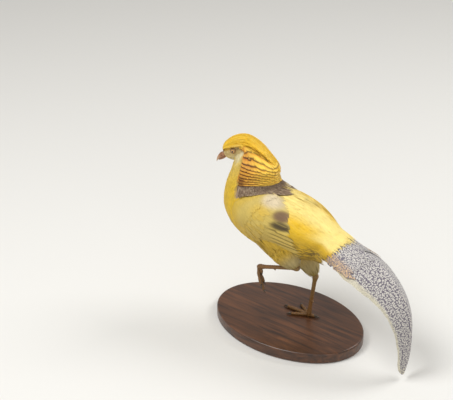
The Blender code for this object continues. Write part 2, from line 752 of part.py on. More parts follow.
# Toes, in degrees from straight ahead to the outer side, with their lengths in cm
TOES = ((0, 4.2), (34, 3.0), (-30, 2.9), (165, 1.1))


def standing_toes(root, outer):
    """Toes spread flat on the plinth, each with a claw at its end."""
    floor = PLINTH_HEIGHT + GAP
    pieces = []
    for turn, length in TOES:
        turn = math.radians(turn) * outer
        way = Vector((-math.cos(turn), math.sin(turn), 0))
        high = 0.3 * MM if length < 2 else 0
        path, radii = [], []
        for share in (0, 0.15, 0.33, 0.5, 0.66, 0.82, 0.96, 1.08, 1.2):
            claw = max(share - 0.96, 0) / 0.24
            radius = (3.1 - 0.9 * share) * MM * (1 - 0.72 * claw)
            lift = radius * 0.85 + max(0.2 - share, 0) * 7 * MM + high * (1 - share / 1.2) ** 0.5
            path.append(Vector((root.x, root.y, floor)) + way * length * CM * share + Vector((0, 0, lift)))
            radii.append(radius)
        toe = sweep(path, radii, 8)
        for vertex in toe.verts:
            vertex.co.z = max(vertex.co.z, floor)
        pieces.append(toe)
    return pieces


def hanging_toes(root, outer):
    """Toes hanging half closed from the raised foot."""
    pieces = []
    for index, (turn, length) in enumerate(TOES):
        spread = math.radians(turn) * 0.45 * outer
        front = length > 2
        base = 80 if front else -30
        path, radii, place = [root.copy()], [3.2 * MM], root.copy()
        for step in range(1, 9):
            share = step / 8
            bend = math.radians(base + 22 * math.sin(share * math.pi) + 30 * share * share if front else 30 + 70 * share)
            way = Vector((-math.cos(bend), math.sin(spread) * 0.6, -math.sin(bend)))
            if not front:
                way = Vector((math.cos(bend), 0, -math.sin(bend)))
            place = place + way.normalized() * length * CM * 1.15 / 8
            path.append(place.copy())
            claw = max(share - 0.84, 0) / 0.16
            radii.append((3.0 - 0.9 * share) * MM * (1 - 0.7 * claw))
        pieces.append(sweep(path, radii, 8, up=(0, 1, 0)))
    return pieces


def make_foot(name):
    _, hock, root = (in_cm(p) for p in LEGS[name])
    way = (root - hock).normalized()
    start = root + way * GAP
    outer = -SIDES[name]
    if name == "right":
        end = Vector((root.x - 0.1 * CM, root.y, PLINTH_HEIGHT + GAP + 3 * MM))
        toes = standing_toes(end, outer)
    else:
        end = root + way * 5 * MM
        toes = hanging_toes(end, outer)
    path = [start, start + way * 1.5 * MM, end, end + way * 2.5 * MM]
    pad = sweep(path, [r * MM for r in (4.2, 4.4, 4.0, 2.0)], 12, up=(0, 1, 0))
    foot = combined(pad, toes, "UNION")
    if name == "right":
        for vertex in foot.verts:
            vertex.co.z = max(vertex.co.z, PLINTH_HEIGHT + GAP)
    node(f"foot_{name}", foot, "scales")


make_plinth()
make_torso()
make_neck()
make_head()
make_bill()
make_wings()
make_tail()
for leg in LEGS:
    make_thigh(leg)
    make_shank(leg)
    make_foot(leg)
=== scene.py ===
"""Looks of the golden pheasant: skin, feathers, head, legs, plinth, light and camera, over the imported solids.

Metres, +Z up. The bird faces -X and its left side is -Y. Trunk, head, tail and legs repeat the solids' own sizes.
A feather's place is a share of the way along a surface and an angle round it, and its colour follows from its place.
"""

import math

import bmesh
import bpy
import numpy as np
from mathutils import Matrix, Vector
from mathutils.bvhtree import BVHTree
from mathutils.kdtree import KDTree


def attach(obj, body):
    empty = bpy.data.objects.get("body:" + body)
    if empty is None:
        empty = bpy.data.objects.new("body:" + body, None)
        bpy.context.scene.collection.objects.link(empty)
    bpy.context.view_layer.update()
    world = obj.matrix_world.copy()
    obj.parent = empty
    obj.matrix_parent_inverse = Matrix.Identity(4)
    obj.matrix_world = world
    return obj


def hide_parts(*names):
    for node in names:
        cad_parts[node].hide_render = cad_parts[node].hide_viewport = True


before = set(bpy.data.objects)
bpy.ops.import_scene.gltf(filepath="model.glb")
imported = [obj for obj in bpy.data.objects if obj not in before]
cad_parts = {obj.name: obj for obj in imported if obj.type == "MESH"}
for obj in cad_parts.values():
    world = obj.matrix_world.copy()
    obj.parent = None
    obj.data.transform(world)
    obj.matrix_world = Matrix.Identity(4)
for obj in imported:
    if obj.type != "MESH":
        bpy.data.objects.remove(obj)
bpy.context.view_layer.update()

CM = 0.01
MM = 0.001
DRAW = np.random.default_rng(5)
SIDES = {"left": 1, "right": -1}  # angles round the body grow towards the left

TAIL_SPREAD = 1.2  # the vanes reach past the solid roof of the tail, as far as the photo shows
PLINTH_HALF_LENGTH = 13.0 * CM
PLINTH_HALF_WIDTH = 9.0 * CM
PLINTH_HEIGHT = 1.8 * CM
PLINTH_ROUNDING = 3.0 * MM

# Trunk and neck, from the tail's root to the nape, in cm and degrees:
# place along X, height, slope of the way forward, half width, rise to the back, drop to the belly
TRUNK = (
    (10.6, 17.8, 28, 1.4, 1.0, 1.5),
    (8.0, 18.4, 28, 2.4, 1.4, 4.0),
    (5.0, 19.0, 27, 3.7, 2.2, 5.9),
    (1.5, 19.4, 25, 4.7, 3.4, 6.5),
    (-2.2, 19.6, 27, 5.3, 4.1, 6.4),
    (-5.6, 20.3, 38, 5.4, 4.6, 5.8),
    (-7.7, 21.8, 58, 4.9, 4.8, 4.9),
    (-8.2, 24.0, 78, 4.2, 4.7, 3.7),
    (-7.9, 26.0, 92, 3.7, 4.3, 2.9),
    (-7.7, 28.0, 98, 2.9, 3.7, 2.4),
    (-7.9, 29.5, 104, 1.3, 1.9, 1.2),
)
NECK_PLACE = 0.685
NECK_SWAY = 0.4 * CM
HEAD_TURN = 25.0
HEAD_PITCH = 30.0
HEAD_CENTRE = Vector((-10.5, -0.8, 29.15)) * CM

# Skull, from the bill's root to the nape, in cm in the head's frame:
# place forward of the eyes, height, half width, rise to the crown, drop to the chin
SKULL = (
    (2.05, -0.20, 0.50, 0.42, 0.62),
    (1.75, -0.20, 0.80, 0.72, 1.05),
    (1.20, -0.20, 1.10, 1.12, 1.55),
    (0.50, -0.20, 1.36, 1.36, 1.85),
    (-0.40, -0.25, 1.55, 1.54, 1.95),
    (-1.40, -0.45, 1.65, 1.60, 1.90),
    (-2.40, -0.80, 1.55, 1.45, 1.70),
    (-3.10, -1.10, 1.10, 1.15, 1.20),
    (-3.50, -1.30, 0.50, 0.50, 0.55),
)

# Ridge of the tail, from the torso to the tip, in cm and degrees:
# place along X, sideways, height, slope down, half width, drop from the ridge to the edge
TAIL = (
    (10.6, 0.0, 18.75, 24, 2.5, 1.5),
    (13.3, 0.0, 18.4, 26, 3.2, 1.9),
    (16.0, 0.0, 17.4, 36, 3.3, 1.9),
    (18.7, -0.1, 15.5, 46, 3.0, 1.8),
    (20.9, -0.2, 13.0, 58, 2.6, 1.6),
    (22.2, -0.3, 10.0, 72, 2.2, 1.3),
    (22.6, -0.5, 6.9, 84, 1.7, 1.0),
    (22.6, -0.8, 3.8, 92, 1.2, 0.7),
    (22.2, -1.2, 1.0, 96, 0.6, 0.3),
)

# Bill, in cm in the head's frame: forward, height of the edge between the halves, half width, rise or drop
UPPER_BILL = (
    (1.95, -0.46, 0.47, 0.60),
    (2.45, -0.50, 0.40, 0.74),
    (2.85, -0.54, 0.33, 0.66),
    (3.25, -0.60, 0.24, 0.50),
    (3.60, -0.70, 0.14, 0.30),
    (3.86, -0.86, 0.04, 0.10),
)
LOWER_BILL = (
    (1.95, -0.52, 0.45, 0.28),
    (2.45, -0.56, 0.36, 0.34),
    (2.85, -0.61, 0.28, 0.30),
    (3.20, -0.67, 0.18, 0.20),
    (3.45, -0.74, 0.07, 0.08),
)

# Legs, in cm: knee (inside the trunk), hock, toes' root
LEGS = {
    "left": ((-0.2, -2.6, 16.2), (3.0, -2.6, 13.2), (-3.9, -2.4, 10.8)),
    "right": ((-1.4, 3.1, 15.0), (3.2, 2.4, 9.4), (2.5, 2.0, 2.6)),
}
THIGH_RADII = (2.3, 2.25, 1.85, 1.35, 0.95, 0.62)  # cm, from the knee to the hock
THIGH_SHARES = (0, 0.25, 0.5, 0.72, 0.88, 1.0)
TOES = ((0, 4.2), (34, 3.0), (-30, 2.9), (165, 1.1))  # degrees to the outer side, length in cm

EYE_RADIUS = 5.0 * MM
EYE_SIDE = 1.11 * CM
COAT_DEPTH = 2.2 * MM  # how far the skin lies inside the body's solids
WING_REAR = ((12, 0.40), (24, 0.36), (38, 0.33), (64, 0.29), (90, 0.25), (108, 0.21), (130, 0.17))
WING_FRONT = ((12, 0.52), (24, 0.575), (38, 0.60), (64, 0.61), (84, 0.595), (98, 0.55), (112, 0.46))
# The lower edges of the cape and of the brown mantle below it: degrees from their middle, place. Both are drawn
# to the right by the turned head.
CAPE_HEM = ((0, 10, 20, 38, 52, 66, 100), (0.585, 0.592, 0.620, 0.685, 0.715, 0.740, 0.735))
CAPE_MIDDLE = -20.0
MANTLE_HEM = ((3, 11, 19, 25, 31, 37, 45, 55, 67, 79, 93), (0.415, 0.42, 0.43, 0.45, 0.48, 0.51, 0.555, 0.595, 0.63, 0.65, 0.66))
MANTLE_MIDDLE = -15.0


# Colours


def srgb(code):
    """A hex colour as linear light."""
    parts = np.array([int(code[i : i + 2], 16) for i in (1, 3, 5)]) / 255
    return np.where(parts <= 0.04045, parts / 12.92, ((parts + 0.055) / 1.055) ** 2.4)


def mixed(first, second, share):
    """A colour between two, for each share from 0 to 1."""
    share = np.clip(np.asarray(share, float), 0, 1)[..., None]
    return np.asarray(first) * (1 - share) + np.asarray(second) * share


LEMON = srgb("#D7B234")
PALE_LEMON = srgb("#D4B860")
KHAKI = srgb("#B08F38")
RUMP_GOLD = srgb("#E9BC16")
# pale gold, painted as a highlight over the top of the rump and given to a few strands at random
RUMP_PALE = srgb("#F8E28C")
CREST_GOLD = srgb("#E2AE14")
CREST_PALE = srgb("#ECC846")
AMBER_DEEP = srgb("#B46218")
AMBER = srgb("#D18524")
AMBER_PALE = srgb("#F0C052")
UMBER = srgb("#4A2510")
CHEEK = srgb("#D6BE80")
THROAT = srgb("#CFC296")
STREAK = srgb("#7A5026")
TAUPE = srgb("#A18A72")
TAUPE_DARK = srgb("#77604E")
CREAM = srgb("#CAB260")
BEIGE = srgb("#D8C8A8")
SPOT = srgb("#745842")
BLACKISH = srgb("#3A3029")
OLIVE = srgb("#75602F")
SILVER = srgb("#CFCBC3")
NET = srgb("#716B76")


# Surfaces


def smooth_rows(rows, places):
    """Rows of sizes read at places from 0 to 1, on one smooth curve through every row."""
    rows = np.asarray(rows, float)
    last = len(rows) - 1
    t = np.clip(np.atleast_1d(places), 0, 1) * last
    i = np.minimum(np.floor(t).astype(int), last - 1)
    f = (t - i)[:, None]
    ends = np.vstack([2 * rows[0] - rows[1], rows, 2 * rows[-1] - rows[-2]])
    a, b, c, d = ends[i], ends[i + 1], ends[i + 2], ends[i + 3]
    return 0.5 * (2 * b + (c - a) * f + (2 * a - 5 * b + 4 * c - d) * f**2 + (3 * b - a - 3 * c + d) * f**3)


def ease(t):
    """0 to 1 with soft ends."""
    t = np.clip(t, 0, 1)
    return t * t * (3 - 2 * t)


def spread_out(*values):
    """Numbers and arrays as arrays of one length."""
    return np.broadcast_arrays(*(np.atleast_1d(np.asarray(v, float)) for v in values))


def body_point(place, angle, height=0.0):
    """A point over trunk or neck. The angle runs from the back, 0, over the left side, 90, to the belly, 180."""
    place, angle, height = spread_out(place, angle, height)
    along, up, slope, half, rise, drop = smooth_rows(TRUNK, place).T
    slope, angle = np.radians(slope), np.radians(angle)
    towards_back = np.cos(angle)
    reach = np.where(towards_back > 0, rise, drop) * CM + height
    sway = NECK_SWAY * ease((place - NECK_PLACE) / (1 - NECK_PLACE))
    return np.stack(
        [
            along * CM + np.sin(slope) * towards_back * reach,
            -np.sin(angle) * (half * CM + height) - sway,
            up * CM + np.cos(slope) * towards_back * reach,
        ],
        axis=1,
    )


def head_frame():
    """The head's matrix: its X is forward along the bill, its Y to the bird's left and its Z to the crown."""
    turn, pitch = math.radians(HEAD_TURN), math.radians(HEAD_PITCH)
    forward = Vector((-math.cos(turn) * math.cos(pitch), -math.sin(turn) * math.cos(pitch), -math.sin(pitch)))
    left = Vector((math.sin(turn), -math.cos(turn), 0))
    turned = Matrix((forward, left, forward.cross(left))).transposed().to_4x4()
    return Matrix.Translation(HEAD_CENTRE) @ turned


HEAD = head_frame()


def from_head(points):
    """Points of the head's frame as places in the world."""
    turned = np.array(HEAD)
    return np.asarray(points) @ turned[:3, :3].T + turned[:3, 3]


def into_head(points):
    """Places in the world as points of the head's frame."""
    turned = np.array(HEAD.inverted())
    return np.asarray(points) @ turned[:3, :3].T + turned[:3, 3]


def skull_point(place, angle, height=0.0):
    """A point over the skull. The angle runs from the crown over the left side."""
    place, angle, height = spread_out(place, angle, height)
    forward, up, half, rise, drop = smooth_rows(SKULL, place).T * CM
    angle = np.radians(angle)
    reach = np.where(np.cos(angle) > 0, rise, drop) + height
    return from_head(np.stack([forward, np.sin(angle) * (half + height), up + np.cos(angle) * reach], axis=1))


def over_crown(along, across, height=0.0):
    """Points over the crown and on down the back of the neck, from the brow, 0, to the crest's end, 1."""
    along, across, height = spread_out(along, across, height)
    share = ease((along - 0.42) / 0.22)[:, None]
    height = height + 5 * MM * 4 * (share * (1 - share))[:, 0]
    on_skull = skull_point(0.06 + 1.64 * np.minimum(along, 0.5), across * 62, height)
    on_neck = body_point(1.0 - 0.34 * np.maximum(along - 0.35, 0) / 0.65, across * 36 - CREST_TURN, height)
    return on_skull * (1 - share) + on_neck * share


CREST_TURN = 24.0  # degrees that the crest lies to the right on the neck, because the head is turned to the left


def cape_point(place, angle, height=0.0):
    """Points over the neck and, past its top, on over the back of the skull to behind the eyes."""
    place, angle, height = spread_out(place, angle, height)
    share = ease((place - 0.90) / 0.14)[:, None]
    height = height + 3.5 * MM * ease((place - 0.80) / 0.08) * ease((80 - np.abs(angle)) / 40)
    beyond = np.maximum(place - 0.92, 0)[:, None] / 0.02
    on_neck = body_point(np.minimum(place, 0.92), angle, height)
    on_neck += beyond * (body_point(0.92, angle, height) - body_point(0.90, angle, height))
    on_skull = skull_point(np.clip(0.60 + 1.43 * (1.04 - place), 0.35, 0.93), angle, height + 1 * MM)
    return on_neck * (1 - share) + on_skull * share


def cape_sheet(row, angle, height=0.0):
    """Points of the cape, from its top row, 0, to its lower edge, 1. The rows draw together towards the ear."""
    row, angle, height = spread_out(row, angle, height)
    away, hem = CAPE_HEM
    low = np.interp(np.abs(angle - CAPE_MIDDLE), away, hem)
    front = 1.02 - 0.28 * row
    back = hem[0] + (front - 0.74) * 1.47
    return cape_point(back + (front - back) * (low - hem[0]) / (0.74 - hem[0]), angle, height)


def tail_point(place, across, height=0.0):
    """Points of the tail's roof. Across runs from the left edge, -1, over the ridge to the right edge, 1."""
    place, across, height = spread_out(place, across, height)
    along, sideways, ridge, slope, half, drop = smooth_rows(TAIL, place).T
    slope, half, drop = np.radians(slope), half * TAIL_SPREAD, drop * TAIL_SPREAD
    below = drop * CM * (np.sqrt(across**2 + 0.02) - math.sqrt(0.02)) * 1.08 - height
    return np.stack(
        [
            along * CM - np.sin(slope) * below,
            (sideways + across * half) * CM,
            ridge * CM - np.cos(slope) * below,
        ],
        axis=1,
    )


def rump_point(place, angle, height=0.0):
    """Points over the trunk and, past its root at place 0, on over the tail, in a straight line where it narrows."""
    place, angle, height = spread_out(place, angle, height)
    share = np.clip((0.13 - place) / 0.25, 0, 1)[:, None]
    on_body = body_point(np.maximum(place, 0.13), angle, height)
    on_tail = tail_point(np.maximum(-1.15 * place, 0.138), np.clip(-angle / 78, -1.1, 1.1), height)
    return on_body * (1 - share) + on_tail * share


def thigh_point(name, place, turn, height=0.0):
    """Points round a thigh, from the knee, 0, to the hock, 1."""
    place, turn, height = spread_out(place, turn, height)
    knee, hock, _ = (np.array(p) * CM for p in LEGS[name])
    way = (hock - knee) / np.linalg.norm(hock - knee)
    across = np.cross(way, (0, 1, 0))
    across /= np.linalg.norm(across)
    over = np.cross(across, way)
    radius = (np.interp(place, THIGH_SHARES, THIGH_RADII) * CM + height)[:, None]
    turn = np.radians(turn)[:, None]
    return knee + place[:, None] * (hock - knee) + radius * (across * np.cos(turn) + over * np.sin(turn))


# Materials


def add(tree, kind, inputs=None, **settings):
    """Add a shader node. Each input is a value or another node's output."""
    item = tree.nodes.new(kind)
    for name, value in settings.items():
        setattr(item, name, value)
    for name, value in (inputs or {}).items():
        if isinstance(value, bpy.types.NodeSocket):
            tree.links.new(value, item.inputs[name])
        else:
            item.inputs[name].default_value = value
    return item


def finish(name, **sockets):
    """A material with its shader's sockets set, its tree and its shader."""
    material = bpy.data.materials.new(name)
    material.use_nodes = True
    shader = material.node_tree.nodes["Principled BSDF"]
    for socket, value in sockets.items():
        shader.inputs[socket.replace("_", " ").replace("IOR level", "IOR Level")].default_value = value
    return material, material.node_tree, shader


def ramp(tree, factor, stops, interpolation="LINEAR"):
    """A colour ramp through (place, colour) stops."""
    item = add(tree, "ShaderNodeValToRGB", {"Fac": factor})
    item.color_ramp.interpolation = interpolation
    elements = item.color_ramp.elements
    while len(elements) < len(stops):
        elements.new(0.5)
    for element, (place, colour) in zip(elements, stops):
        element.position = place
        element.color = (*colour, 1) if np.ndim(colour) else (colour, colour, colour, 1)
    return item.outputs["Color"]


def feather_finish(name, strands, depth, roughness, sheen, mottling=0.12):
    """Feather keratin: soft barbs side by side, which show as fine lines along the vane with a silky, broken gloss.

    Strands is how many lines lie across a vane. The colour of each vane comes with its mesh.
    """
    material, tree, shader = finish(name, Roughness=roughness, Sheen_Weight=sheen, Sheen_Roughness=0.4)
    shader.inputs["Specular IOR Level"].default_value = 0.28
    tint = add(tree, "ShaderNodeAttribute", attribute_name="tint", attribute_type="GEOMETRY")
    place = add(tree, "ShaderNodeUVMap", uv_map="vane")
    stretched = add(tree, "ShaderNodeMapping", {"Vector": place.outputs["UV"], "Scale": (strands, 2.0, 1.0)})
    barbs = add(tree, "ShaderNodeTexNoise", {"Vector": stretched.outputs["Vector"], "Scale": 1.0, "Detail": 2.0})
    where = add(tree, "ShaderNodeTexCoord")
    patches = add(tree, "ShaderNodeTexNoise", {"Vector": where.outputs["Object"], "Scale": 90.0, "Detail": 3.0})
    low, high = 1 - mottling, 1 + mottling
    light = add(
        tree,
        "ShaderNodeMapRange",
        {"Value": patches.outputs["Fac"], "From Min": 0.3, "From Max": 0.7, "To Min": low, "To Max": high},
    )
    lines = add(
        tree,
        "ShaderNodeMapRange",
        {"Value": barbs.outputs["Fac"], "From Min": 0.35, "From Max": 0.65, "To Min": 0.86, "To Max": 1.08},
    )
    both = add(tree, "ShaderNodeMath", {0: light.outputs["Result"], 1: lines.outputs["Result"]}, operation="MULTIPLY")
    shaded = add(
        tree, "ShaderNodeVectorMath", {0: tint.outputs["Color"], "Scale": both.outputs["Value"]}, operation="SCALE"
    )
    tree.links.new(shaded.outputs["Vector"], shader.inputs["Base Color"])
    bump = add(tree, "ShaderNodeBump", {"Height": barbs.outputs["Fac"], "Strength": depth, "Distance": 0.4 * MM})
    tree.links.new(bump.outputs["Normal"], shader.inputs["Normal"])
    return material


# Joined meshes of many feathers


def prism_faces(rows):
    """Faces of a strand: three edges all along, closed at both ends."""
    faces = [(0, 1, 2), (3 * rows - 3, 3 * rows - 1, 3 * rows - 2)]
    for row in range(rows - 1):
        low, high = 3 * row, 3 * row + 3
        for i, j in ((0, 1), (1, 2), (2, 0)):
            faces += [(low + i, high + j, low + j), (low + i, high + i, high + j)]
    return np.array(faces)


def slab_faces(rows, columns):
    """Faces of a vane: two grids, split alike, and the rim between them."""
    over = np.arange(rows * columns).reshape(rows, columns)
    a, b, c, d = (part.ravel() for part in (over[:-1, :-1], over[1:, :-1], over[1:, 1:], over[:-1, 1:]))
    top = np.concatenate([np.stack([a, b, c], 1), np.stack([a, c, d], 1)])
    rim = np.concatenate([over[:, 0], over[-1, 1:], over[-2::-1, -1], over[0, -2:0:-1]])
    after = np.roll(rim, -1)
    under = rows * columns
    edge = [np.stack([rim, rim + under, after + under], 1), np.stack([rim, after + under, after], 1)]
    return np.concatenate([top, top[:, ::-1] + under, *edge])


def tufts(points, faces, tint, across, along, home, patch, netted=1.0):
    """Feathers of one kind, all turned face out.

    Tint has a colour for each point, across and along its place on the vane, home and patch the feather's own
    spot on the unwrapped skin, and netted how strongly a tail feather's pattern shows.
    """
    corners = (points - points.mean(axis=1, keepdims=True))[:, faces]
    volume = np.einsum("nfi,nfi->n", corners[:, :, 0], np.cross(corners[:, :, 1], corners[:, :, 2]))
    count, size = points.shape[:2]
    shape = (count, size)
    faces = faces[None] + size * np.arange(count)[:, None, None]
    faces = np.where((volume < 0)[:, None, None], faces[:, :, ::-1], faces)
    across, along = np.broadcast_to(across, shape), np.broadcast_to(along, shape)
    spot = np.stack([home[:, :1] + (across - 0.5) * patch[0], home[:, 1:] + (along - 0.5) * patch[1]], axis=2)
    return {
        "points": points.reshape(-1, 3),
        "faces": faces.reshape(-1, 3),
        "tint": np.broadcast_to(tint, (*shape, 3)).reshape(-1, 3),
        "netted": np.broadcast_to(netted, shape).ravel(),
        "vane": np.stack([across, along], axis=2).reshape(-1, 2),
        "spot": np.clip(spot, 0.001, 0.999).reshape(-1, 2),
    }


def piece(name, material, kinds, nodes=(), crease=50):
    """Join kinds of feathers into one piece of the bird."""
    starts = np.cumsum([0] + [len(kind["points"]) for kind in kinds])
    faces = np.concatenate([kind["faces"] + start for kind, start in zip(kinds, starts)]).astype(np.int32)
    keys = ("points", "tint", "netted", "vane", "spot")
    points, tint, netted, vane, spot = (np.concatenate([kind[key] for kind in kinds]) for key in keys)
    mesh = bpy.data.meshes.new(name)
    mesh.vertices.add(len(points))
    mesh.vertices.foreach_set("co", points.astype(np.float32).ravel())
    mesh.loops.add(faces.size)
    mesh.loops.foreach_set("vertex_index", faces.ravel())
    mesh.polygons.add(len(faces))
    mesh.polygons.foreach_set("loop_start", np.arange(len(faces), dtype=np.int32) * 3)
    mesh.update(calc_edges=True)
    colours = mesh.attributes.new("tint", "FLOAT_COLOR", "POINT")
    colours.data.foreach_set("color", np.column_stack([tint, netted]).astype(np.float32).ravel())
    for key, values in (("vane", vane), ("OFBake", spot)):
        layer = mesh.uv_layers.new(name=key)
        layer.data.foreach_set("uv", values[faces.ravel()].astype(np.float32).ravel())
    mesh.polygons.foreach_set("use_smooth", np.ones(len(faces), dtype=bool))
    mesh.set_sharp_from_angle(angle=math.radians(crease))
    return placed(name, mesh, material, nodes)


def placed(name, mesh, material, nodes=()):
    """Put a mesh in the scene as a piece that stands for its nodes."""
    mesh.materials.append(material)
    item = bpy.data.objects.new(name, mesh)
    bpy.context.scene.collection.objects.link(item)
    if nodes:
        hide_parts(*nodes)
    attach(item, "root")
    return item


def run_of(surface, root, tip, rows, power=0.85):
    """Each feather's middle line on a surface, and a metre to its side and ahead, in the surface's own places."""
    along = np.linspace(0, 1, rows) ** power
    middle = root[:, None] + along[:, None] * (tip - root)[:, None]
    flat, nudge = middle.reshape(-1, 2), 0.002
    here = surface(*flat.T, 0)
    spans = [np.linalg.norm(surface(*(flat + nudge * np.eye(2)[i]).T, 0) - here, axis=1) / nudge for i in (0, 1)]
    spans = np.stack(spans, axis=1)
    spans = np.maximum(spans, 0.2 * np.median(spans, axis=0)).reshape(middle.shape)
    way = (tip - root)[:, None] * spans
    way /= np.linalg.norm(way, axis=2, keepdims=True)
    side = np.stack([-way[..., 1], way[..., 0]], axis=2) / spans
    return along, middle, side, way / spans


def heights_along(lift, along):
    """Heights given at even steps from root to tip, read at each row."""
    lift = np.atleast_2d(lift)
    knots = np.linspace(0, 1, lift.shape[1])
    return lift @ np.stack([np.interp(along, knots, row) for row in np.eye(lift.shape[1])])


BROAD = ((0, 0.25, 0.6, 0.88, 1), (0.45, 0.85, 1, 0.96, 0.62))
ROUND = ((0, 0.35, 0.7, 0.9, 1), (0.4, 0.9, 1, 0.8, 0.3))
POINTED = ((0, 0.25, 0.55, 0.85, 1), (0.5, 0.95, 1, 0.55, 0.12))
SILK = ((0, 0.3, 0.7, 1), (0.55, 1, 0.7, 0.08))
SQUARE = ((0, 0.25, 0.6, 0.94, 1), (0.45, 0.85, 1, 1, 0.86))
SOFT = ((0, 0.3, 0.6, 0.85, 1), (0.45, 0.95, 1, 0.7, 0.2))
QUILL = ((0, 0.2, 0.6, 0.88, 0.97, 1), (0.5, 0.85, 1, 0.85, 0.5, 0.25))


def vanes(surface, root, tip, width, lift, rows=8, columns=7, outline=BROAD, tilt=0.0, camber=0.0, thick=0.35 * MM,
          rounding=0.0, fray=0.0):
    """Broad vanes laid on a surface. Lift is the height from root to tip, tilt raises one edge over the other,
    camber lowers both, rounding draws the outer corners of the tip back and fray makes its end uneven.
    """
    along, middle, side, ahead = run_of(surface, root, tip, rows)
    across = np.linspace(-1, 1, columns)
    half = np.broadcast_to(width, len(root))[:, None] / 2 * np.interp(along, *outline)
    spread = half[:, :, None] * across
    end = (along**6)[:, None]
    back = rounding * across**2 * end + fray * end * DRAW.random((len(root), 1, columns))
    grid = middle[:, :, None] + side[:, :, None] * spread[..., None] - ahead[:, :, None] * back[..., None]
    height = heights_along(lift, along)[:, :, None] + np.reshape(tilt, (-1, 1, 1)) * across - camber * spread**2
    shell = (thick * (1 - 0.4 * along) / 2)[:, None] + 0 * height
    faces = [surface(*grid.reshape(-1, 2).T, (height + way * shell).ravel()) for way in (1, -1)]
    points = np.concatenate([face.reshape(len(root), -1, 3) for face in faces], axis=1)
    over = np.tile(((across + 1) / 2)[None], (rows, 1)).ravel()
    far = np.repeat(along, columns)
    places = np.tile(grid.reshape(len(root), -1, 2), (1, 2, 1))
    return points, slab_faces(rows, columns), np.tile(over, 2), np.tile(far, 2), places


def strands(surface, root, tip, width, lift, rows=6, outline=SILK, thick=0.5 * MM, bend=0.0):
    """Narrow locks laid on a surface, each a thin blade with a ridge. Lift is a height for each strand at even
    steps, or a function of the places; bend is how far the tip swings to the side.
    """
    along, middle, side, _ = run_of(surface, root, tip, rows)
    middle = middle + side * (np.reshape(bend, (-1, 1)) * along**2)[..., None]
    half = np.broadcast_to(width, len(root))[:, None] / 2 * np.interp(along, *outline)
    height = (lift(middle, along) if callable(lift) else heights_along(lift, along)) + 0 * half
    lines = [surface(*(middle + side * (way * half)[..., None]).reshape(-1, 2).T, height.ravel()) for way in (-1, 1)]
    ridge = surface(*middle.reshape(-1, 2).T, (height + thick * (1 - 0.7 * along)).ravel())
    points = np.stack([lines[0], ridge, lines[1]], axis=1).reshape(len(root), 3 * rows, 3)
    return points, prism_faces(rows), np.tile((0.0, 0.5, 1.0), rows), np.repeat(along, 3), np.repeat(middle, 3, axis=1)


def shades(count, depth=0.12):
    """A slightly lighter or darker share for each feather."""
    return 1 + depth * (2 * DRAW.random((count, 1, 1)) - 1)


def cells(count, columns, top=1.0):
    """Even spots for a few broad feathers on their own map, and the size of each."""
    rows = math.ceil(count / columns)
    index = np.arange(count)
    home = np.stack([(index % columns + 0.5) / columns, (index // columns + 0.5) / rows * top], axis=1)
    return home, (0.92 / columns, 0.92 * top / rows)


# Skin


def skinned(rings, closed=True):
    """A mesh over rings of as many points each, bridged one to the next."""
    shape = bmesh.new()
    loops = []
    for ring in rings:
        corners = [shape.verts.new(p) for p in ring]
        loops.append([shape.edges.new((a, b)) for a, b in zip(corners, corners[1:] + corners[:1])])
    for low, high in zip(loops, loops[1:]):
        bmesh.ops.bridge_loops(shape, edges=low + high)
    if closed:
        bmesh.ops.holes_fill(shape, edges=loops[0] + loops[-1])
    bmesh.ops.recalc_face_normals(shape, faces=shape.faces)
    return shape


def as_mesh(name, shape, smooth=True):
    mesh = bpy.data.meshes.new(name)
    shape.to_mesh(mesh)
    shape.free()
    mesh.polygons.foreach_set("use_smooth", [smooth] * len(mesh.polygons))
    return mesh


def applied(mesh, kind, **settings):
    """A mesh with one modifier applied."""
    item = bpy.data.objects.new("work", mesh)
    bpy.context.scene.collection.objects.link(item)
    modifier = item.modifiers.new("work", kind)
    for key, value in settings.items():
        setattr(modifier, key, value)
    result = bpy.data.meshes.new_from_object(item.evaluated_get(bpy.context.evaluated_depsgraph_get()))
    bpy.data.objects.remove(item)
    return result


def rings_round(surface, places, sides, height):
    turns = np.arange(sides) * 360.0 / sides
    return [surface(np.full(sides, p), turns, height) for p in places]


def skin_mesh():
    """Trunk, neck, skull and thighs as one smooth closed skin, inside the solids by the coat's depth."""
    parts = [
        skinned(rings_round(body_point, np.linspace(0.0, 1, 60), 72, -COAT_DEPTH)),
        skinned(rings_round(skull_point, np.linspace(0.02, 1, 40), 56, -1.3 * MM)),
    ]
    for name in LEGS:
        on_thigh = lambda place, turn, height, name=name: thigh_point(name, place, turn, height)
        parts.append(skinned(rings_round(on_thigh, np.linspace(0, 0.97, 14), 32, -2.2 * MM)))
    whole = bmesh.new()
    for part in parts:
        mesh = as_mesh("part", part)
        whole.from_mesh(mesh)
        bpy.data.meshes.remove(mesh)
    mesh = applied(as_mesh("skin", whole), "REMESH", mode="VOXEL", voxel_size=1.5 * MM, use_smooth_shade=True)
    return applied(mesh, "SMOOTH", factor=0.5, iterations=6)


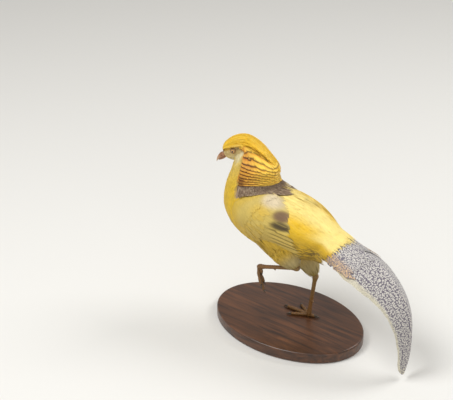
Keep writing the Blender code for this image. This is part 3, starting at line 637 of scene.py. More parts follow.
class Lie:
    """Which way the feathers lie: reads a point's nearest place on trunk, skull and thighs."""

    def __init__(self):
        place, angle = np.meshgrid(np.linspace(0.01, 0.995, 150), np.arange(-180, 180, 4.0), indexing="ij")
        self.trunk = self.table(body_point, place.ravel(), angle.ravel(), -0.004)
        place, angle = np.meshgrid(np.linspace(0.03, 0.97, 60), np.arange(-180, 180, 6.0), indexing="ij")
        self.skull = self.table(skull_point, place.ravel(), angle.ravel(), 0.01)
        place, angle = np.meshgrid(np.linspace(0.1, 0.96, 30), np.arange(-180, 180, 12.0), indexing="ij")
        self.thighs = [
            self.table(lambda p, a, h=0.0, n=name: thigh_point(n, p, a, h), place.ravel(), angle.ravel(), 0.01)
            for name in LEGS
        ]

    @staticmethod
    def table(surface, place, angle, step):
        points = surface(place, angle, -COAT_DEPTH if surface is body_point else -1.5 * MM)
        ways = surface(place + step, angle, 0) - surface(place, angle, 0)
        ways /= np.maximum(np.linalg.norm(ways, axis=1, keepdims=True), 1e-9)
        tree = KDTree(len(points))
        for index, point in enumerate(points):
            tree.insert(point, index)
        tree.balance()
        return {"tree": tree, "place": place, "angle": angle, "ways": ways}

    def near(self, table, points):
        found = [table["tree"].find(p) for p in points]
        index = np.array([f[1] for f in found])
        away = np.array([f[2] for f in found])
        return table["place"][index], table["angle"][index], table["ways"][index], away

    def read(self, points):
        """Where each point is: trunk place and angle, skull place and angle, each part's share, and the lie."""
        trunk, skull, *thighs = (self.near(t, points) for t in (self.trunk, self.skull, *self.thighs))
        weights = [1 / (part[3] + 1.0 * MM) ** 4 for part in (trunk, skull, *thighs)]
        total = sum(weights)
        ways = sum(part[2] * (w / total)[:, None] for part, w in zip((trunk, skull, *thighs), weights))
        return {
            "place": trunk[0],
            "angle": trunk[1],
            "head_place": skull[0],
            "head_angle": skull[1],
            "head": weights[1] / total,
            "thigh": (weights[2] + weights[3]) / total,
            "thigh_place": np.where(thighs[0][3] < thighs[1][3], thighs[0][0], thighs[1][0]),
            "ways": ways,
        }


def region_colour(here, points):
    """The plumage's colour at places on the skin: the same markings for the skin and the feathers on it."""
    place, angle = here["place"], np.abs(here["angle"])
    front = ease((place - 0.45) / 0.3)
    colour = mixed(LEMON, PALE_LEMON, ease((place - 0.72) / 0.2) * 0.8)
    colour = mixed(colour, KHAKI, 0.45 * ease((angle - 125) / 40) * (1 - front))
    rump = ease((0.44 - place) / 0.05) * ease((125 - angle) / 30)
    colour = mixed(colour, RUMP_GOLD, rump)
    low = np.interp(np.abs(here["angle"] - MANTLE_MIDDLE), *MANTLE_HEM)
    hem = np.interp(np.abs(here["angle"] - CAPE_MIDDLE), *CAPE_HEM)
    mantle = ease((place - low) / 0.02) * ease((hem + 0.12 - place) / 0.02) * ease((88 - angle) / 8)
    colour = mixed(colour, mixed(TAUPE, TAUPE_DARK, ease((place - hem + 0.03) / 0.05)), mantle)
    under_cape = ease((place - hem - 0.06) / 0.03) * ease((90 - angle) / 8)
    colour = mixed(colour, AMBER, under_cape)
    colour = mixed(colour, THROAT, ease((place - 0.88) / 0.08) * ease((angle - 92) / 14))
    colour = mixed(colour, OLIVE, ease((0.12 - place) / 0.08) * ease((angle - 110) / 30) * 0.6)
    thigh = mixed(mixed(LEMON, KHAKI, 0.45), srgb("#9C8648"), ease((here["thigh_place"] - 0.45) / 0.4))
    colour = mixed(colour, thigh, here["thigh"])
    in_head = into_head(points) / CM
    forward, side, up = in_head[:, 0], np.abs(in_head[:, 1]), in_head[:, 2]
    crown = ease((up - 0.30 + 0.10 * forward) / 0.25)
    face = mixed(CHEEK, THROAT, ease((-0.4 - up) / 0.8))
    face = mixed(face, LEMON, 0.35 * ease((-forward - 0.8) / 1.2))
    streak = np.exp(-(((up - 0.02 + 0.18 * (forward + 0.4)) / 0.16) ** 2)) * ease((-forward - 0.2) / 0.3)
    face = mixed(face, STREAK, 0.5 * streak * ease((forward + 2.1) / 0.9))
    lores = np.exp(-(((up + 0.18) / 0.22) ** 2)) * ease((forward - 0.5) / 0.4)
    face = mixed(face, STREAK, 0.25 * lores)
    about_eye = np.exp(-((forward**2 + up**2) / 0.58**2))
    face = mixed(face, STREAK, 0.36 * about_eye)
    head = mixed(face, CREST_GOLD, crown)
    return mixed(colour, head, ease((here["head"] - 0.4) / 0.2))


def scattered(mesh, spacing_of, tries):
    """Roots spread evenly over a mesh, no two nearer than the spacing where they are."""
    mesh.calc_loop_triangles()
    points = np.empty(len(mesh.vertices) * 3)
    mesh.vertices.foreach_get("co", points)
    corners = np.empty(len(mesh.loop_triangles) * 3, dtype=np.int32)
    mesh.loop_triangles.foreach_get("vertices", corners)
    triangles = points.reshape(-1, 3)[corners.reshape(-1, 3)]
    cross = np.cross(triangles[:, 1] - triangles[:, 0], triangles[:, 2] - triangles[:, 0])
    area = np.linalg.norm(cross, axis=1)
    spacing = spacing_of(triangles.mean(axis=1))
    chance = np.where(np.isfinite(spacing), area / spacing**2, 0)
    chosen = DRAW.choice(len(area), size=tries, p=chance / chance.sum())
    u, v = DRAW.random((2, tries))
    folded = u + v > 1
    u, v = np.where(folded, 1 - u, u), np.where(folded, 1 - v, v)
    a, b, c = (triangles[chosen, i] for i in range(3))
    spots = a + u[:, None] * (b - a) + v[:, None] * (c - a)
    gaps = spacing[chosen]
    cell = float(np.nanmax(np.where(np.isfinite(spacing), spacing, np.nan)))
    taken, kept = {}, []
    steps = [(i, j, k) for i in (-1, 0, 1) for j in (-1, 0, 1) for k in (-1, 0, 1)]
    keys = np.floor(spots / cell).astype(int)
    for index, (key, spot, gap) in enumerate(zip(map(tuple, keys), spots.tolist(), gaps.tolist())):
        clear = True
        for i, j, k in steps:
            for other in taken.get((key[0] + i, key[1] + j, key[2] + k), ()):
                if (spot[0] - other[0]) ** 2 + (spot[1] - other[1]) ** 2 + (spot[2] - other[2]) ** 2 < gap * gap:
                    clear = False
                    break
            if not clear:
                break
        if clear:
            taken.setdefault(key, []).append(spot)
            kept.append(index)
    return spots[kept], gaps[kept]


def grown(tree, roots, ways, length, width, lift, rows=5, outline=ROUND, thick=0.45 * MM):
    """Small feathers that follow the skin from each root along the lie."""
    along = np.linspace(0, 1, rows) ** 0.9
    middles, normals, sides = (np.empty((len(roots), rows, 3)) for _ in range(3))
    for index, (root, way, far) in enumerate(zip(roots, ways, length)):
        point, normal, _, _ = tree.find_nearest(Vector(root))
        way = Vector(way)
        last = 0.0
        for row, share in enumerate(along):
            if row:
                point, normal, _, _ = tree.find_nearest(point + way * (share - last) * far)
            last = share
            way = (way - normal * way.dot(normal)).normalized()
            middles[index, row], normals[index, row], sides[index, row] = point, normal, normal.cross(way)
    half = width[:, None] / 2 * np.interp(along, *outline)
    middles += normals * heights_along(lift, along)[..., None]
    left, right = (middles + way * sides * half[..., None] - normals * (half**2 * 20)[..., None] for way in (-1, 1))
    ridge = middles + normals * (thick * (1 - 0.6 * along))[:, None]
    points = np.stack([left, ridge, right], axis=2).reshape(len(roots), 3 * rows, 3)
    return points, prism_faces(rows), np.tile((0.0, 0.5, 1.0), rows), np.repeat(along, 3)


def skin_spot(here):
    """Each root's place on the skin's own unwrap: trunk below, head above."""
    trunk = np.stack([(here["angle"] + 180) / 360 * 0.98 + 0.01, here["place"] * 0.68 + 0.01], axis=1)
    head = np.stack([(here["head_angle"] + 180) / 360 * 0.48 + 0.01, here["head_place"] * 0.27 + 0.72], axis=1)
    thigh = np.stack([(here["angle"] + 180) / 360 * 0.48 + 0.51, here["thigh_place"] * 0.27 + 0.72], axis=1)
    spot = np.where((here["head"] > 0.5)[:, None], head, trunk)
    return np.where((here["thigh"] > 0.5)[:, None], thigh, spot)


def under_wing(here, margin=0.0):
    """Whether a place on the trunk is well covered by a folded wing."""
    angle = np.abs(here["angle"])
    front = np.interp(angle, *zip(*WING_FRONT)) - 0.04
    rear = np.interp(angle, *zip(*WING_REAR)) + 0.10
    return (angle > 28) & (angle < 96) & (here["place"] < front) & (here["place"] > rear)


def make_coat():
    """The skin, and the small feathers of face, throat, breast, back, belly and thighs."""
    skin = skin_mesh()
    lie = Lie()
    points = np.empty(len(skin.vertices) * 3)
    skin.vertices.foreach_get("co", points)
    points = points.reshape(-1, 3)
    here = lie.read(points)
    # painted shade: the skin is darkened to 0.88 of the plumage's colour, as it lies in the shade of the feathers over
    # it
    tint = region_colour(here, points) * 0.88
    colours = skin.attributes.new("tint", "FLOAT_COLOR", "POINT")
    colours.data.foreach_set("color", np.column_stack([tint, np.ones(len(tint))]).astype(np.float32).ravel())
    tree = BVHTree.FromPolygons(
        [Vector(p) for p in points], [tuple(polygon.vertices) for polygon in skin.polygons], all_triangles=False
    )
    placed("skin", skin, SKIN, ["torso", "neck", "head", "thigh_left", "thigh_right"])

    eyes = [np.array(HEAD @ Vector((0.0, side * (EYE_SIDE + 3 * MM), 0))) for side in SIDES.values()]

    def spacing(where):
        spots = lie.read(where)
        gap = np.interp(spots["place"], (0, 0.3, 0.7, 0.9, 1), (2.2, 2.1, 1.9, 1.5, 1.3)) * MM
        gap = np.where(spots["thigh"] > 0.5, np.interp(spots["thigh_place"], (0.2, 1), (1.9, 1.2)) * MM, gap)
        gap = np.where(spots["head"] > 0.5, np.interp(spots["head_place"], (0, 0.5, 1), (0.62, 0.85, 1.2)) * MM, gap)
        bare = under_wing(spots) & (spots["thigh"] < 0.4)
        for eye in eyes:
            bare |= np.linalg.norm(where - eye, axis=1) < 4.0 * MM
        bare |= (into_head(where)[:, 0] > 1.98 * CM) & (spots["head"] > 0.5)
        return np.where(bare, np.inf, gap)

    roots, gaps = scattered(skin, spacing, 240000)
    here = lie.read(roots)
    head = here["head"] > 0.5
    jitter = 0.16 * DRAW.standard_normal((len(roots), 3))
    ways = here["ways"] + jitter
    length = gaps * np.where(head, 4.8, 6.6) * (1 + 0.15 * DRAW.standard_normal(len(roots)))
    width = gaps * np.where(head, 1.9, 2.1)
    rise = np.where(head, 0.35 * MM, 1.0 * MM) * (1 + 0.2 * DRAW.standard_normal(len(roots)))
    lift = np.stack([-0.25 * MM + 0 * rise, 0.6 * rise, 0.95 * rise, 0.8 * rise], axis=1)
    colour = region_colour(here, roots)
    home = skin_spot(here)
    groups = {
        "face_feathers": head,
        "neck_feathers": ~head & (here["place"] > 0.72),
        "breast_feathers": ~head & (here["place"] <= 0.72) & (np.abs(here["angle"]) > 95),
        "back_feathers": ~head & (here["place"] <= 0.72) & (np.abs(here["angle"]) <= 95),
    }
    for name, chosen in groups.items():
        rows = 4
        made = grown(tree, roots[chosen], ways[chosen], length[chosen], width[chosen], lift[chosen], rows, SOFT)
        points, faces, across, along = made
        # each feather a little lighter or darker at random, and painted shade: darker towards its root, where the
        # feathers over it overlap it
        tone_and_painted_shade = shades(chosen.sum(), 0.09) * (0.90 + 0.12 * along)[:, None]
        kinds = [tufts(points, faces, colour[chosen][:, None] * tone_and_painted_shade, across, along, home[chosen], (0.003, 0.003))]
        piece(name, BODY_FEATHER, kinds)
    return tree


# Rump, crest and cape


def make_rump():
    """Long loose golden plumes over the rump and its sides, which end over the root of the tail."""
    count = 6000
    angle = DRAW.uniform(-150, 150, count)
    side = np.abs(angle)
    front = np.where(side > 118, 0.17, np.interp(side, *zip(*WING_REAR)) + 0.005)
    over_wing = 0.07 * ease((-angle - 6) / 14) * ease((80 + angle) / 15)
    rear = np.where(side < 118, 0.125, 0.14)
    limit = np.interp(side, (0, 60, 100, 118), (-0.005, 0.035, 0.05, 0.06)) + DRAW.normal(0, 0.014, count)
    end = limit + (front + over_wing - 0.05 - limit) * DRAW.random(count)
    start = np.maximum(end + DRAW.uniform(0.055, 0.12, count), rear + 0.03 * DRAW.random(count))
    droop = angle * (1.04 + 0.08 * DRAW.random(count) * ease((start + 0.02) / 0.1))
    root, tip = np.stack([start, angle], 1), np.stack([end, droop], 1)
    high = (DRAW.uniform(1.3, 2.4, count) + 2.2 * ease((start - front + 0.03) / 0.04) * (over_wing > 0)) * MM
    lift = np.stack([-1.6 * MM + 0 * high, 0.6 * high, 0.95 * high, 0.9 * high], axis=1)
    width = DRAW.uniform(2.0, 3.2, count) * MM
    bend = DRAW.normal(0, 0.8, count) * MM
    points, faces, across, along, where = strands(rump_point, root, tip, width, lift, rows=6, bend=bend)
    place, side = where[..., 0], np.abs(where[..., 1])
    # painted highlight: paler over the top of the rump and towards the root of the tail, and each strand a little paler
    # at random
    highlight = np.maximum(ease((50 - side) / 34), ease((0.24 - place) / 0.12) * ease((88 - side) / 30))
    colour = mixed(RUMP_GOLD, RUMP_PALE, 0.85 * highlight + 0.15 * DRAW.random((count, 1)))
    colour = mixed(colour, mixed(RUMP_GOLD, KHAKI, 0.45), 0.8 * ease((side - 58) / 25) * ease((0.34 - place) / 0.1))
    colour = mixed(colour, KHAKI, 0.75 * ease((side - 100) / 40))
    dark = (DRAW.random((count, 1)) < 0.55) * ease((side - 88) / 22) * ease((place - 0.02) / 0.05)
    colour = mixed(colour, OLIVE * 0.8, 0.85 * dark)
    # each strand a little lighter or darker at random, and painted shade: darker towards its root, where the strands
    # over it overlap it
    colour = colour * (shades(count, 0.05) * (0.92 + 0.1 * along)[:, None])
    home = np.stack([(angle + 180) / 360, np.clip(start + 0.05, 0, 1) / 0.5], axis=1) * 0.98 + 0.01
    kinds = [tufts(points, faces, colour, across, along, home, (0.003, 0.003))]
    piece("rump_plumes", SILKY_FEATHER, kinds)


def bridged(tree, roots, tips, width, high, rows=7, thick=0.45 * MM):
    """Strands from roots on the skin to tips on it, arched over whatever lies between."""
    along = np.linspace(0, 1, rows)
    starts, ends, outs = [], [], []
    for root, tip in zip(roots, tips):
        start, normal, _, _ = tree.find_nearest(Vector(root))
        end, far, _, _ = tree.find_nearest(Vector(tip))
        starts.append(start - normal * 0.5 * MM)
        ends.append(end)
        outs.append((normal + far).normalized())
    starts, ends, outs = (np.array(v) for v in (starts, ends, outs))
    arch = (high[:, None] * np.sin(along * math.pi * 0.62) / math.sin(math.pi * 0.62))[..., None]
    middle = starts[:, None] + along[:, None] * (ends - starts)[:, None] + outs[:, None] * arch
    way = ends - starts
    side = np.cross(outs, way)
    side /= np.linalg.norm(side, axis=1, keepdims=True)
    half = (width[:, None] / 2 * np.interp(along, *SILK))[..., None] * side[:, None]
    ridge = middle + outs[:, None] * (thick * (1 - 0.7 * along))[:, None]
    points = np.stack([middle - half, ridge, middle + half], axis=2).reshape(len(starts), 3 * rows, 3)
    return points, prism_faces(rows), np.tile((0.0, 0.5, 1.0), rows), np.repeat(along, 3)


def make_flanks(tree):
    """Loose plumes that hide where the thighs leave the body, and the wisps at the end of the mantle."""
    kinds = []
    for name, side in SIDES.items():
        count = 1300
        place, turn = DRAW.uniform(0.0, 0.55, count), DRAW.uniform(-180, 180, count)
        tips = thigh_point(name, place, turn, 1 * MM)
        tips = tips[tips[:, 1] * -side > 0.016]
        count = len(tips)
        back = np.array((-0.85, 0.0, 0.42)) + 0.08 * DRAW.standard_normal((count, 3))
        roots = tips + back * DRAW.uniform(0.024, 0.042, (count, 1))
        made = bridged(tree, roots, tips, DRAW.uniform(1.8, 2.8, count) * MM, DRAW.uniform(1.5, 3.4, count) * MM)
        points, faces, across, along = made
        colour = mixed(mixed(LEMON, KHAKI, 0.35 + 0.3 * DRAW.random((count, 1))), srgb("#A08A50"), 0.35 * ease(along - 0.5))
        # each plume a little lighter or darker at random, and painted shade: darker towards its root, where the plumes
        # over it overlap it
        colour = colour * (shades(count, 0.08) * (0.92 + 0.1 * along)[:, None])
        home = DRAW.random((count, 2)) * (0.48, 0.96) + ((0.5 if side < 0 else 0.02), 0.02)
        kinds.append(tufts(points, faces, colour, across, along, home, (0.003, 0.003)))
    piece("flank_plumes", BODY_FEATHER, kinds)

    kinds = []
    for name, side in SIDES.items():
        on_thigh = lambda place, turn, height, name=name: thigh_point(name, place, turn, height)
        count = 900
        start, turn = DRAW.uniform(0.1, 0.66, count), DRAW.uniform(-180, 180, count)
        root = np.stack([start, turn], 1)
        tip = np.stack([np.minimum(start + DRAW.uniform(0.25, 0.50, count), DRAW.uniform(0.86, 1.0, count)), turn + DRAW.normal(0, 5, count)], 1)
        high = DRAW.uniform(0.8, 2.6, count) * MM
        lift = np.stack([-1.5 * MM + 0 * high, 0.6 * high, high * 0.9, high * 0.3], axis=1)
        made = strands(on_thigh, root, tip, DRAW.uniform(1.2, 2.0, count) * MM, lift, rows=6)
        points, faces, across, along, where = made
        colour = mixed(mixed(LEMON, KHAKI, 0.5), srgb("#B3A06C"), ease((where[..., 0] - 0.30) / 0.5))
        # each strand a little lighter or darker at random, and painted shade: darker towards its root, where the
        # strands over it overlap it
        colour = colour * (shades(count, 0.10) * (0.88 + 0.14 * along)[:, None])
        home = np.stack([(turn + 180) / 720 + (0.5 if side < 0 else 0), start], axis=1) * 0.96 + 0.02
        kinds.append(tufts(points, faces, colour, across, along, home, (0.003, 0.003)))
    piece("thigh_plumes", SILKY_FEATHER, kinds)

    count = 2100
    angle = DRAW.uniform(-80, 80, count)
    hem = np.interp(np.abs(angle - CAPE_MIDDLE), *CAPE_HEM)
    low = np.interp(np.abs(angle - MANTLE_MIDDLE), *MANTLE_HEM)
    start = hem + 0.05 - (hem + 0.05 - low - 0.03) * DRAW.random(count)
    end = np.maximum(start - DRAW.uniform(0.05, 0.10, count), low - 0.015)
    root, tip = np.stack([start, angle], 1), np.stack([end, angle - 4.0 * ease((angle + 60) / 80)], 1)
    high = DRAW.uniform(1.8, 3.2, count) * MM
    lift = np.stack([-2.2 * MM + 0 * high, 0.5 * high, 0.95 * high], axis=1)
    made = strands(body_point, root, tip, DRAW.uniform(1.3, 2.2, count) * MM, lift, rows=6)
    points, faces, across, along, where = made
    colour = mixed(TAUPE, TAUPE_DARK, DRAW.random((count, 1)) ** 1.5 + 0 * along)
    colour = mixed(colour, BEIGE, 0.35 * (DRAW.random((count, 1)) < 0.2) * ease((along - 0.4) / 0.4))
    # painted shade: each strand darker towards its root, where the strands over it overlap it
    colour = colour * (0.9 + 0.12 * along)[:, None]
    home = np.stack([(angle + 90) / 180, start], axis=1) * 0.96 + 0.02
    kinds = [tufts(points, faces, colour, across, along, home, (0.003, 0.003))]
    piece("mantle_plumes", BODY_FEATHER, kinds)


def make_crest():
    """Long silky golden locks from the brow and crown, swept back in one sheet that narrows down the nape."""
    clumps, each = 84, 34
    count = clumps * each
    of = np.repeat(np.arange(clumps), each)
    middle = DRAW.uniform(-1.0, 1.0, clumps)
    start = DRAW.uniform(-0.02, 0.40, clumps)
    root_across = middle[of] + DRAW.normal(0, 0.11, count)
    root_along = np.maximum(start[of] + DRAW.normal(0, 0.03, count), -0.02)
    edge = np.interp(root_along, (-0.02, 0.06, 0.12, 0.20, 0.28, 0.36, 0.44), (0.45, 0.58, 0.72, 0.88, 0.97, 1.0, 0.95))
    root_across = np.clip(root_across, -edge, edge)
    tip_along = root_along + DRAW.uniform(0.20, 0.36, clumps)[of] * (1 + DRAW.normal(0, 0.07, count))
    most = 0.70 - 0.25 * np.abs(root_across) ** 1.3 + DRAW.normal(0, 0.012, count)
    tip_along = np.maximum(np.minimum(tip_along, most), root_along + 0.05)
    # the locks draw together towards the nape
    gather = 1 - 0.30 * ease((tip_along - 0.30) / 0.30)
    wide = np.interp(tip_along, (0.0, 0.12, 0.28, 0.44), (0.62, 0.80, 1.0, 1.0)) / np.maximum(edge, 0.5)
    tip_across = (root_across * 0.45 + middle[of] * 0.55) * gather * np.clip(wide, 0.9, 1.35)
    tip_across = np.clip(tip_across, -1.02, 1.02)
    root, tip = np.stack([root_along, root_across], 1), np.stack([tip_along, tip_across], 1)
    level = (1 - start[of] / 0.42) * 2.2 + DRAW.random(clumps)[of] * 1.0 + DRAW.random(count) * 0.8

    def lift(where, along):
        clear = np.interp(where[..., 0], (0, 0.3, 0.5, 0.7), (0.5, 1.1, 4.6, 5.6)) + level[:, None]
        return np.minimum(clear, -1.2 + 16 * along) * MM

    bend = DRAW.normal(0, 0.35, count) * MM
    points, faces, across, far, where = strands(over_crown, root, tip, 1.35 * MM, lift, rows=8, bend=bend)
    colour = mixed(CREST_GOLD, CREST_PALE, DRAW.random((count, 1)) * 0.9 + 0 * far)
    colour = mixed(colour, CHEEK, 0.35 * ease((np.abs(where[..., 1]) - 0.75) / 0.3) * ease((0.42 - where[..., 0]) / 0.1))
    lock = shades(clumps, 0.12)[of]
    # each clump and lock a little lighter or darker at random, and painted shade: darker towards the root, where the
    # locks over it overlap it
    colour = colour * (lock * shades(count, 0.08) * (0.78 + 0.28 * far)[:, None])
    home = np.stack([(root_across + 1.2) / 2.4, (root_along + 0.05) / 0.6], axis=1) * 0.96 + 0.02
    kinds = [tufts(points, faces, colour, across, far, home, (0.003, 0.003))]
    piece("crest", SILKY_FEATHER, kinds)


CAPE_ROWS = 12
CAPE_OVERLAP = 3  # rows that a feather reaches over


def make_cape():
    """Rows of broad square-ended cape feathers, closing up towards the ear. Each is deeper amber towards its root, as
    painted shade under the row over it, and has a dark edge that is partly its own colour and partly painted shade.
    """
    roots, tips, widths, lifts, ends_at = [], [], [], [], []
    for row in range(CAPE_ROWS):
        end = row / (CAPE_ROWS - 1)
        count = 16 + row % 2
        step = 168 / count
        for index in range(count):
            angle = -84 + step * (index + 0.5) + DRAW.normal(0, 0.5)
            angle *= 1 - 0.08 * end * (angle > 0)
            # no feathers where the crest lies over them
            if np.interp(end, (0, 0.1, 0.22, 0.32, 0.36), (-60, -52, -42, -34, -200)) < angle < np.interp(
                end, (0, 0.1, 0.18, 0.27, 0.32, 0.36), (56, 24, -12, -30, -34, -200)
            ):
                continue
            if end < 0.15 and abs(angle) > 74:
                continue
            shift = DRAW.normal(0, 0.007)
            ends = cape_sheet(end, (angle - 0.5, angle + 0.5))
            roots.append((max(end - CAPE_OVERLAP / (CAPE_ROWS - 1), -0.07), angle))
            tips.append((end + shift, angle + DRAW.normal(0, 0.5)))
            widths.append(min(1.55 * step * np.linalg.norm(ends[1] - ends[0]), 17 * MM))
            high = (3.0 + 0.4 * (index % 2) + 0.3 * DRAW.random()) * MM * np.interp(end, (0, 0.3), (0.45, 1))
            lifts.append((-1.5 * MM, 0.3 * high, 0.75 * high, high))
            ends_at.append(end)
    roots, tips, widths, lifts = (np.array(v) for v in (roots, tips, widths, lifts))
    made = vanes(cape_sheet, roots, tips, widths, lifts, rows=16, columns=11, camber=2.0, rounding=0.5 * MM,
                 fray=0.4 * MM, tilt=0.15 * MM, outline=SQUARE)
    points, faces, across, along, where = made
    side = np.abs(where[..., 1] - 0.35 * CAPE_MIDDLE)
    front = ease((side - 25) / 55)
    # painted shade: each feather is deeper amber towards its root, under the row over it
    base = mixed(mixed(AMBER, AMBER_DEEP, 0.6 * front), mixed(AMBER_PALE, AMBER, 0.6 * front), ease((along - 0.62) / 0.18))
    # paler tips in the cape's middle, under the crest: partly their own gold and partly painted light against the
    # crest's shade
    base = mixed(base, CREST_PALE, 0.55 * (1 - front) * ease((along - 0.60) / 0.2))
    top = ease((0.20 - np.array(ends_at)) / 0.12)[:, None]
    base = mixed(base, CREST_PALE, 0.7 * top)
    # the dark edge of each feather: partly its own colour and partly painted shade, kept fainter in the cape's middle
    # under the crest as painted light
    dark = ease((along - 0.90 + 0.04 * (2 * across - 1) ** 2) / 0.035) * (1 - 0.8 * top)
    # painted light: the cape's middle, which the crest shades, is made up to a tenth lighter
    base = base * (1 + 0.10 * (1 - front))[..., None]
    base = mixed(base, UMBER, dark * (0.95 - 0.3 * (1 - front)))
    corner = ease((side - 70) / 12) * ease((where[..., 0] - 0.55) / 0.3)
    base = mixed(base, UMBER * 1.2, 0.7 * corner)
    home, patch = cells(len(roots), 16)
    kinds = [tufts(points, faces, base * shades(len(roots), 0.10), across, along, home, patch)]
    piece("cape", BROAD_FEATHER, kinds)


# Wings

# Long feathers of a wing: how many, roots from the first to the last, tips from the first to the last,
# each as place and angle, with the width in cm and the height at root, middle and tip in mm
WING_TIERS = {
    "primaries": (9, (0.43, 108), (0.44, 98), (0.170, 136), (0.200, 114), 1.05, (0.0, 0.7, 1.1)),
    "secondaries": (15, (0.48, 102), (0.45, 18), (0.205, 116), (0.385, 14), 1.35, (0.2, 1.5, 2.0)),
}


def side_base(place, angle):
    """The ground colour over the folded wing, khaki lemon."""
    angle = np.abs(angle)
    colour = mixed(CREAM, KHAKI, 0.55 * ease((angle - 72) / 45))
    colour = mixed(colour, LEMON, 0.55 * ease((place - np.interp(angle, *zip(*WING_FRONT)) + 0.07) / 0.07))
    return mixed(colour, RUMP_GOLD, 0.35 * np.exp(-(((place - 0.46) / 0.05) ** 2) - (((angle - 56) / 14) ** 2)))


def side_colour(place, angle, colour=None):
    """The markings over the folded wing: a beige patch near the back, a dark spot behind it and a black one below."""
    colour = side_base(place, angle) if colour is None else colour
    angle = np.abs(angle) - 12 * (np.asarray(angle) < 0)
    beige = np.exp(-((((place - 0.450) / 0.075) ** 2 + ((angle - 27) / 16) ** 2) ** 2))
    colour = mixed(colour, BEIGE, 0.97 * beige)
    spot = np.exp(-((((place - 0.350) / 0.044) ** 2 + ((angle - 47) / 13) ** 2) ** 3))
    colour = mixed(colour, SPOT, 0.95 * spot)
    black = np.exp(-((((place - 0.325) / 0.048) ** 2 + ((angle - 68) / 11) ** 2) ** 3))
    return mixed(colour, BLACKISH, 0.9 * black)


def low_to_back(angle):
    """Feathers lie lower towards the middle of the back."""
    return 0.3 + 0.7 * ease((np.abs(angle) - 10) / 34)


def wing_plate(side):
    """The arm under the coverts, one closed plate over the side."""
    angles, shares = np.linspace(16, 110, 22), np.linspace(0, 1, 18)
    rear = 0.40
    rows = rear + (np.interp(angles, *zip(*WING_FRONT)) - rear)[None] * shares[:, None]
    bulge = np.abs(np.sin(np.pi * shares)[:, None] * np.sin(np.pi * (angles - 16) / 94)[None]) ** 0.3
    turn = np.broadcast_to(side * angles, rows.shape)
    over, under = 0.2 * MM + 1.4 * MM * bulge, -2 * MM + 0 * bulge
    points = np.concatenate([body_point(rows.ravel(), turn.ravel(), h.ravel()) for h in (over, under)])[None]
    # painted shade: the plate lies under the coverts and is darkened to 0.8 of their colours
    tint = side_colour(np.tile(rows.ravel(), 2), np.tile(turn.ravel(), 2))[None] * 0.8
    return tufts(points, slab_faces(18, 22), tint, 0.5, 0.5, np.array([[0.5, 0.97]]), (0.003, 0.003))


def make_wings():
    for name, side in SIDES.items():
        kinds = [wing_plate(side)]
        for row, (tier, (count, *ends, width, lift)) in enumerate(WING_TIERS.items()):
            share = np.linspace(0, 1, count)[:, None]
            first_root, last_root, first_tip, last_tip = (np.array(end) for end in ends)
            root, tip = first_root * (1 - share) + last_root * share, first_tip * (1 - share) + last_tip * share
            if tier == "secondaries":
                tip[:, 0] = np.interp(tip[:, 1], *zip(*WING_REAR))
            tip[:, 0] += DRAW.normal(0, 0.003, count)
            lifts = (np.array(lift) * MM + DRAW.normal(0, 0.12 * MM, (count, 1))) * low_to_back(tip[:, 1])[:, None]
            root[:, 1] *= side
            tip[:, 1] *= side
            made = vanes(
                body_point, root, tip, width * CM * (1 + 0.05 * DRAW.standard_normal(count)), lifts,
                rows=18, columns=9, tilt=side * 0.4 * MM, camber=1.5, rounding=2.0 * MM, fray=0.8 * MM, outline=QUILL,
            )
            points, faces, across, along, where = made
            outer = across if side > 0 else 1 - across
            colour = side_base(where[..., 0], where[..., 1])
            turn = np.abs(where[..., 1])
            low = ease((turn - 64) / 10) * ease((0.395 - 0.09 * ease((turn - 72) / 60) - where[..., 0]) / 0.04)
            colour = mixed(colour, PALE_LEMON, 0.7 * low)
            colour = mixed(colour, OLIVE * 0.6, 0.62 * low * ease((outer - 0.76) / 0.08))
            colour = side_colour(where[..., 0], where[..., 1], colour)
            colour = mixed(colour, CREAM, 0.35 * np.exp(-(((across - 0.5) / 0.04) ** 2)))
            # each quill a little lighter or darker at random, and painted shade: darker towards its root, where the
            # coverts and quills over it overlap it
            colour = colour * (shades(count, 0.06) * (0.85 + 0.2 * along)[:, None])
            index = np.arange(count)
            home = np.stack([(index + 0.5) / 16, 0.1 + 0.22 * row + 0.0 * index], axis=1)
            kinds.append(tufts(points, faces, colour, across, along, home, (0.055, 0.19)))
        kinds += wing_coverts(side)
        piece(f"wing_{name}_feathers", BROAD_FEATHER, kinds, [f"wing_{name}"])


